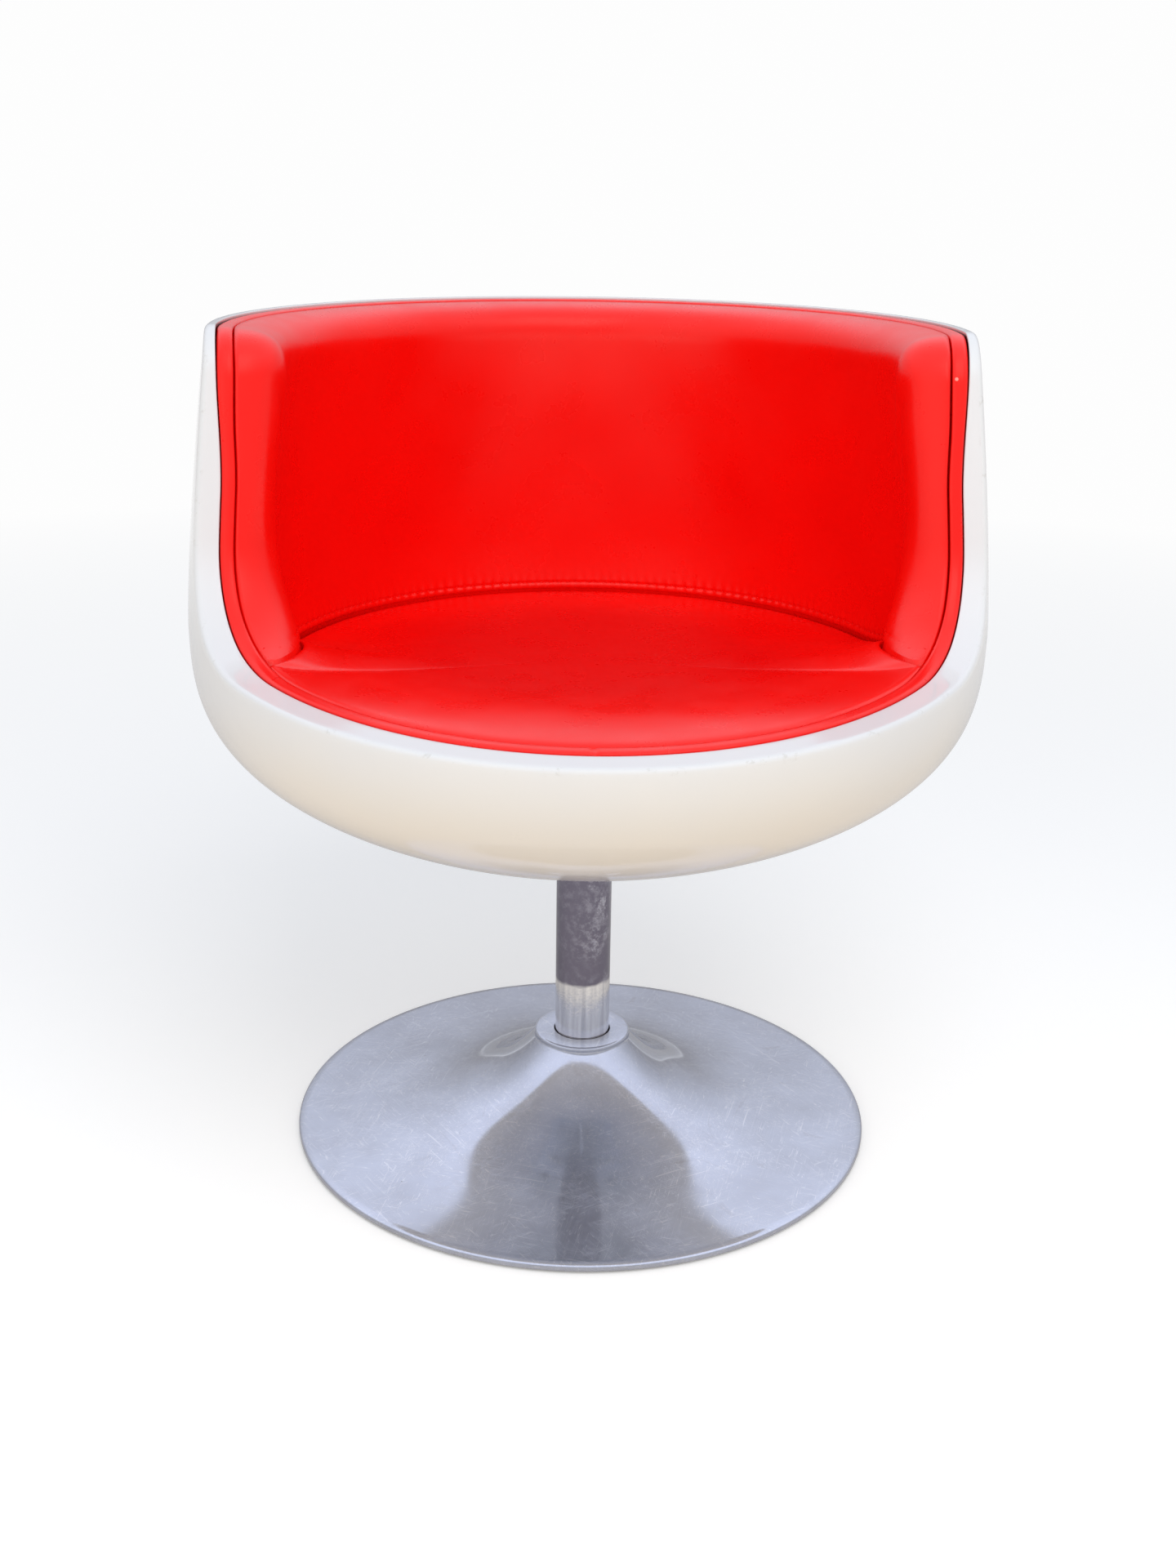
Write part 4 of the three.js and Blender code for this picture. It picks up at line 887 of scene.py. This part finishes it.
SPECKS = specks_group()
SCRATCHES = scratches_group()
SCUFF_PLACE = (-0.062, -0.3, 0.405)
# middle of the painted shade in the seat's dish
DISH_PLACE = (0, -0.02, 0.4)
DARK_REFLECTION_LINE = 0.146  # the chrome is painted dark above this height, as a painted reflection of the shaded ground


def new_material(name, **principled):
    """A material with one Principled shader: its plain numbers are set on the shader itself."""
    material = bpy.data.materials.new(name)
    material.use_nodes = True
    tree = material.node_tree
    shader = tree.nodes["Principled BSDF"]
    for key, value in principled.items():
        shader.inputs[key.replace("_", " ")].default_value = value
    place = node(tree, "ShaderNodeTexCoord").outputs["Object"]
    return material, tree, shader, place


def link(tree, shader, **sockets):
    for key, socket in sockets.items():
        tree.links.new(socket, shader.inputs[key.replace("_", " ")])


def bump(tree, height, strength, distance):
    inputs = {"Height": height, "Strength": strength, "Distance": distance}
    return node(tree, "ShaderNodeBump", inputs).outputs["Normal"]


def shell_paint():
    """Glossy white gel coat: cream low down as painted warm light from the ground and bluish grey underneath as painted
    shade, softly rippled, with small chips, a rubbed outer edge and one old scuff on the front."""
    material, tree, shader, place = new_material("white_gel_coat", IOR=1.5)
    cloud = noise(tree, place, 5.0)
    height = maths(tree, "ADD", height_of(tree, place), times(tree, cloud, 0.08))
    white = mixed(tree, remap(tree, cloud, 0.35, 0.65), (0.78, 0.79, 0.805), (0.75, 0.76, 0.775))
    # painted light: the cream low down stands in for warm light given back by the ground
    cream_painted_ground_light = mixed(tree, remap(tree, height, 0.5, 0.36), white, (0.79, 0.735, 0.635))
    # painted shade: darker bluish grey underneath, where the shell lies in shade
    underside_painted_shade = mixed(tree, remap(tree, height_of(tree, place), 0.37, 0.295), cream_painted_ground_light, (0.6, 0.64, 0.76))
    chips = placed(tree, SPECKS, Vector=place, Scale=48.0, Rarity=0.955, Size=0.085)["Mask"]
    worn = node(tree, "ShaderNodeAttribute", attribute_name="edge_wear").outputs["Fac"]
    rubbed = remap(tree, noise(tree, place, 70.0, 7.0, 0.75), 0.58, 0.66)
    rub = times(tree, times(tree, worn, rubbed), 0.45)
    lines = placed(tree, SCRATCHES, Vector=place, Scale=260.0, Rarity=0.46)["Mask"]
    scuff = times(tree, lines, remap(tree, away_from(tree, place, SCUFF_PLACE), 0.014, 0.004))
    marks = maths(tree, "MAXIMUM", times(tree, chips, 0.7), times(tree, scuff, 0.55))
    colour = mixed(tree, marks, mixed(tree, rub, underside_painted_shade, (0.52, 0.5, 0.46)), (0.2, 0.18, 0.16))
    smear = remap(tree, noise(tree, place, 14.0, 5.0, 0.65), 0.4, 0.7, 0.07, 0.16)
    ripples = noise(tree, place, 30.0, 2.0)
    link(tree, shader, Base_Color=colour, Roughness=smear, Normal=bump(tree, ripples, 0.14, 0.001))
    return material


def red_vinyl():
    """Smooth red vinyl: painted darker in the seat's dish as painted shade, with a fine grain, soft stretch waves, lint
    and duller rubbed spots."""
    material, tree, shader, place = new_material("red_vinyl", IOR=1.5, Specular_Tint=(1, 0.82, 0.72, 1))
    tone = remap(tree, noise(tree, place, 7.0, 3.0), 0.3, 0.7)
    red = mixed(tree, tone, (0.97, 0.004, 0.002), (0.9, 0.003, 0.0015))
    lint = placed(tree, SPECKS, Vector=place, Scale=70.0, Rarity=0.982, Size=0.1)["Mask"]
    # painted shade: darker red within the seat's dish, round DISH_PLACE
    uneven = times(tree, noise(tree, place, 9.0, 3.0), 0.05)
    away = maths(tree, "ADD", away_from(tree, place, DISH_PLACE), uneven)
    dish_painted_shade = mixed(tree, remap(tree, away, 0.26, 0.17), red, (0.76, 0.0015, 0.002))
    colour = mixed(tree, times(tree, lint, 0.6), dish_painted_shade, (0.9, 0.5, 0.42))
    grain = times(tree, noise(tree, place, 420.0, 2.0), 0.012)
    waves = maths(tree, "ADD", noise(tree, place, 13.0, 1.0), grain)
    rubbed = remap(tree, noise(tree, place, 20.0, 5.0, 0.6), 0.35, 0.7, 0.25, 0.35)
    link(tree, shader, Base_Color=colour, Roughness=rubbed, Normal=bump(tree, waves, 0.25, 0.0012))
    return material


def polished_aluminium():
    """Cast aluminium polished by hand, tinted bluish as a painted reflection of the sky: faint turning rings, crossing
    hair scratches, hazy patches and a few pits.
    """
    material, tree, shader, place = new_material("polished_aluminium", Metallic=0.7)
    haze = remap(tree, noise(tree, place, 16.0, 6.0, 0.6), 0.35, 0.7)
    # painted reflection: the bluish tint of both tones stands in for the sky mirrored in the metal
    metal = mixed(tree, haze, (0.48, 0.51, 0.6), (0.41, 0.43, 0.5))
    fine = placed(tree, SCRATCHES, Vector=place, Scale=330.0, Rarity=0.44)["Mask"]
    long = placed(tree, SCRATCHES, Vector=place, Scale=60.0, Rarity=0.6)["Mask"]
    pits = placed(tree, SPECKS, Vector=place, Scale=80.0, Rarity=0.95, Size=0.08)["Mask"]
    pale = mixed(tree, times(tree, fine, 0.3), metal, (0.88, 0.88, 0.9))
    marked = mixed(tree, times(tree, long, 0.2), pale, (0.34, 0.33, 0.36))
    colour = mixed(tree, times(tree, pits, 0.6), marked, (0.2, 0.19, 0.19))
    radius = node(tree, "ShaderNodeVectorMath", {0: place, 1: (1, 1, 0)}, operation="MULTIPLY").outputs[0]
    radius = node(tree, "ShaderNodeVectorMath", {0: radius}, operation="LENGTH").outputs["Value"]
    rings = node(tree, "ShaderNodeTexNoise", {"W": radius, "Scale": 700.0, "Detail": 2.0}, noise_dimensions="1D")
    height = maths(tree, "ADD", times(tree, rings.outputs["Fac"], 0.2), maths(tree, "ADD", fine, long))
    rough = remap(tree, haze, 0, 1, 0.06, 0.12)
    link(tree, shader, Base_Color=colour, Roughness=rough, Normal=bump(tree, height, 0.1, 0.0002))
    return material


def stained_chrome_with_painted_reflections():
    """Chrome plate with painted reflections: dark and cloudy above a ragged line, a painted reflection of the shaded
    ground, bright and streaked below it, a painted reflection of the lit disc, and brown with old water at the foot."""
    material, tree, shader, place = new_material("stained_chrome_with_painted_reflections", Metallic=1.0)
    # painted reflection: above a ragged line the chrome is painted dark, standing in for the shaded ground it mirrors
    ragged = times(tree, noise(tree, place, 45.0, 3.0), 0.012)
    height = maths(tree, "ADD", height_of(tree, place), ragged)
    dark_reflection_share = remap(tree, height, DARK_REFLECTION_LINE, DARK_REFLECTION_LINE + 0.0035)
    side = node(tree, "ShaderNodeSeparateXYZ", {0: place}).outputs["X"]
    # painted reflection: mottled lighter clouds in the dark part, stronger towards +X
    mottle = remap(tree, noise(tree, place, 130.0, 8.0, 0.75), 0.46, 0.62)
    cloud = remap(tree, noise(tree, place, 26.0, 4.0), 0.42, 0.6)
    reflected_ground_mottle = times(tree, times(tree, mottle, cloud), remap(tree, side, -0.012, 0.012, 0.25, 1.0))
    dark = mixed(tree, reflected_ground_mottle, (0.2, 0.185, 0.235), (0.5, 0.49, 0.55))
    # painted reflection: bright vertical streaks below the line stand in for the lit disc mirrored in the chrome; the
    # brown at the foot is a real stain
    upright = node(tree, "ShaderNodeMapping", {"Vector": place, "Scale": (1, 1, 0.05)}).outputs[0]
    painted_reflection_streaks = remap(tree, noise(tree, upright, 260.0, 3.0), 0.35, 0.65)
    bright = mixed(tree, painted_reflection_streaks, (0.95, 0.93, 0.9), (0.7, 0.69, 0.7))
    foot = times(tree, remap(tree, height_of(tree, place), 0.097, 0.084), noise(tree, place, 60.0))
    colour = mixed(tree, dark_reflection_share, mixed(tree, foot, bright, (0.22, 0.14, 0.08)), dark)
    rough = remap(tree, times(tree, reflected_ground_mottle, dark_reflection_share), 0, 1, 0.1, 0.36)
    link(tree, shader, Base_Color=colour, Roughness=rough, Normal=bump(tree, mottle, 0.08, 0.0002))
    return material


def plain_metal(name, light, dark, rough, grain):
    """Bare or plated metal with a fine broken grain."""
    material, tree, shader, place = new_material(name, Metallic=1.0)
    spots = remap(tree, noise(tree, place, grain, 6.0, 0.65), 0.35, 0.68)
    smear = remap(tree, noise(tree, place, grain / 6, 3.0), 0.3, 0.7, rough - 0.08, rough + 0.08)
    link(tree, shader, Base_Color=mixed(tree, spots, light, dark), Roughness=smear)
    link(tree, shader, Normal=bump(tree, spots, 0.1, 0.0002))
    return material


def plain_solid(name, light, dark, rough, grain):
    """Rubber, board or ply: two tones in a fine grain with a matt surface."""
    material, tree, shader, place = new_material(name, Roughness=rough)
    spots = remap(tree, noise(tree, place, grain, 5.0, 0.6), 0.35, 0.65)
    link(tree, shader, Base_Color=mixed(tree, spots, light, dark), Normal=bump(tree, spots, 0.2, 0.0003))
    return material


def finishes():
    """One material for each slot of the record."""
    return {
        "shell_gloss": shell_paint(),
        "vinyl_red": red_vinyl(),
        "base_aluminium": polished_aluminium(),
        "column_chrome": stained_chrome_with_painted_reflections(),
        "steel_plain": plain_metal("zinc_plated_steel", (0.74, 0.74, 0.76), (0.6, 0.6, 0.62), 0.42, 90.0),
        "bush_bronze": plain_metal("sintered_bronze", (0.5, 0.34, 0.15), (0.34, 0.22, 0.1), 0.42, 300.0),
        "rubber_black": plain_solid("black_rubber", (0.03, 0.03, 0.03), (0.015, 0.015, 0.015), 0.75, 200.0),
        "ply_birch": plain_solid("birch_ply", (0.6, 0.44, 0.27), (0.46, 0.31, 0.18), 0.7, 40.0),
        "liner_grey": plain_solid("lining_board", (0.28, 0.28, 0.29), (0.2, 0.2, 0.2), 0.75, 120.0),
    }


# ---------- studio ----------
CAMERA_TURN = math.radians(-3.12)  # the chair faces a little past the camera
CAMERA_PAN = math.radians(-0.08)
CAMERA_BACK = 1500.0
CAMERA_HEIGHT = 855.6
CAMERA_PITCH = math.radians(19.35)
CAMERA_ROLL = math.radians(0.89)
FOCAL_PIXELS = 2190.0
FRAME_LONG_SIDE = 1920
SENSOR = 36.0


def make_camera():
    """The camera at the photograph's viewing angle."""
    data = bpy.data.cameras.new("camera")
    data.sensor_width = SENSOR
    data.lens = FOCAL_PIXELS * SENSOR / FRAME_LONG_SIDE
    data.clip_start, data.clip_end = 0.05, 200
    camera = in_scene("camera", data)
    place = Matrix.Rotation(CAMERA_TURN, 3, "Z") @ Vector((0, -CAMERA_BACK, CAMERA_HEIGHT)) * MM
    turned = Matrix.Translation(place)
    for angle, axis in ((CAMERA_TURN + CAMERA_PAN, "Z"), (math.pi / 2 - CAMERA_PITCH, "X"), (CAMERA_ROLL, "Z")):
        turned = turned @ Matrix.Rotation(angle, 4, axis)
    camera.matrix_world = turned
    bpy.context.scene.camera = camera


def make_floor():
    """A wide pale floor, white far off. The light it gives back is warm, and mirror rays see it darker, as paving."""
    reach = 40.0
    mesh = bpy.data.meshes.new("studio_floor")
    corners = [(-reach, -reach, 0), (reach, -reach, 0), (reach, reach, 0), (-reach, reach, 0)]
    mesh.from_pydata(corners, [], [(0, 1, 2, 3)])
    floor = in_scene("studio_floor", mesh)
    material, tree, shader, place = new_material("pale_floor", Roughness=0.9)
    shader.inputs["Specular IOR Level"].default_value = 0.0
    rays = node(tree, "ShaderNodeLightPath").outputs
    pale = mixed(tree, noise(tree, place, 0.7), (0.955, 0.945, 0.93), (0.945, 0.935, 0.92))
    warm = mixed(tree, rays["Is Diffuse Ray"], pale, (0.82, 0.72, 0.6))
    paving = mixed(tree, rays["Is Glossy Ray"], warm, (0.8, 0.77, 0.74))
    far = remap(tree, away_from(tree, place, (0, 0, 0)), 1.0, 3.2)
    link(tree, shader, Base_Color=mixed(tree, far, paving, (0, 0, 0)))
    bounce = mixed(tree, rays["Is Diffuse Ray"], (0, 0, 0), (0.34, 0.26, 0.17))
    lift = mixed(tree, rays["Is Camera Ray"], bounce, (0.2, 0.2, 0.195))
    link(tree, shader, Emission_Color=mixed(tree, far, lift, (0.985, 0.985, 0.985)))
    shader.inputs["Emission Strength"].default_value = 1.0
    mesh.materials.append(material)


def make_world():
    """Even soft light. Mirror rays see a sky, bright and cool overhead, dim and grey towards the horizon; the camera
    sees white."""
    world = bpy.data.worlds.new("studio")
    bpy.context.scene.world = world
    world.use_nodes = True
    tree = world.node_tree
    direction = node(tree, "ShaderNodeTexCoord").outputs["Generated"]
    height = height_of(tree, direction)
    haze = mixed(tree, remap(tree, height, 0.0, 0.42), (0.4, 0.39, 0.4), (0.9, 0.92, 1.0))
    sky = mixed(tree, remap(tree, height, 0.4, 0.7), haze, (1.45, 1.5, 1.7))
    rays = node(tree, "ShaderNodeLightPath").outputs
    plain = mixed(tree, remap(tree, height, 0.0, 0.9), (0.56, 0.56, 0.56), (0.58, 0.62, 0.7))
    soft = mixed(tree, rays["Is Glossy Ray"], plain, sky)
    seen = mixed(tree, rays["Is Camera Ray"], soft, (0.985, 0.985, 0.985))
    tree.links.new(seen, tree.nodes["Background"].inputs["Color"])


def area_light(name, place, target, size, power, colour):
    data = bpy.data.lights.new(name, "AREA")
    data.shape = "RECTANGLE"
    data.size, data.size_y = size
    data.energy = power
    data.color = colour
    lamp = in_scene(name, data)
    lamp.location = place
    lamp.rotation_euler = (Vector(target) - Vector(place)).to_track_quat("-Z", "Y").to_euler()
    lamp.visible_glossy = False


def make_lights():
    """A large soft lamp, high in front and to the right, so that the shadow falls behind and to the left, and a weak
    one low on the left."""
    area_light("key", (0.6, -2.1, 2.9), (0, 0, 0.4), (2.2, 2.2), 46, (1.0, 0.985, 0.95))
    area_light("fill", (-1.9, -2.3, 1.3), (0, 0, 0.5), (2.4, 2.0), 13, (1.0, 0.97, 0.93))


# ---------- the chair ----------
FINISH = finishes()
make_camera()
make_shell(FINISH["shell_gloss"])
make_border(FINISH["vinyl_red"])
make_back(FINISH["vinyl_red"])
make_seat(FINISH["vinyl_red"])
make_stitches(FINISH["vinyl_red"])
make_base(FINISH["base_aluminium"])
make_column(FINISH["column_chrome"])

for subpart in frame["record"]["subparts"]:
    part = frame["nodes"][subpart["node"]]
    part.data.materials.clear()
    part.data.materials.append(FINISH[subpart["material_slot"]])

make_floor()
make_world()
make_lights()
bpy.context.scene.view_settings.view_transform = "Standard"
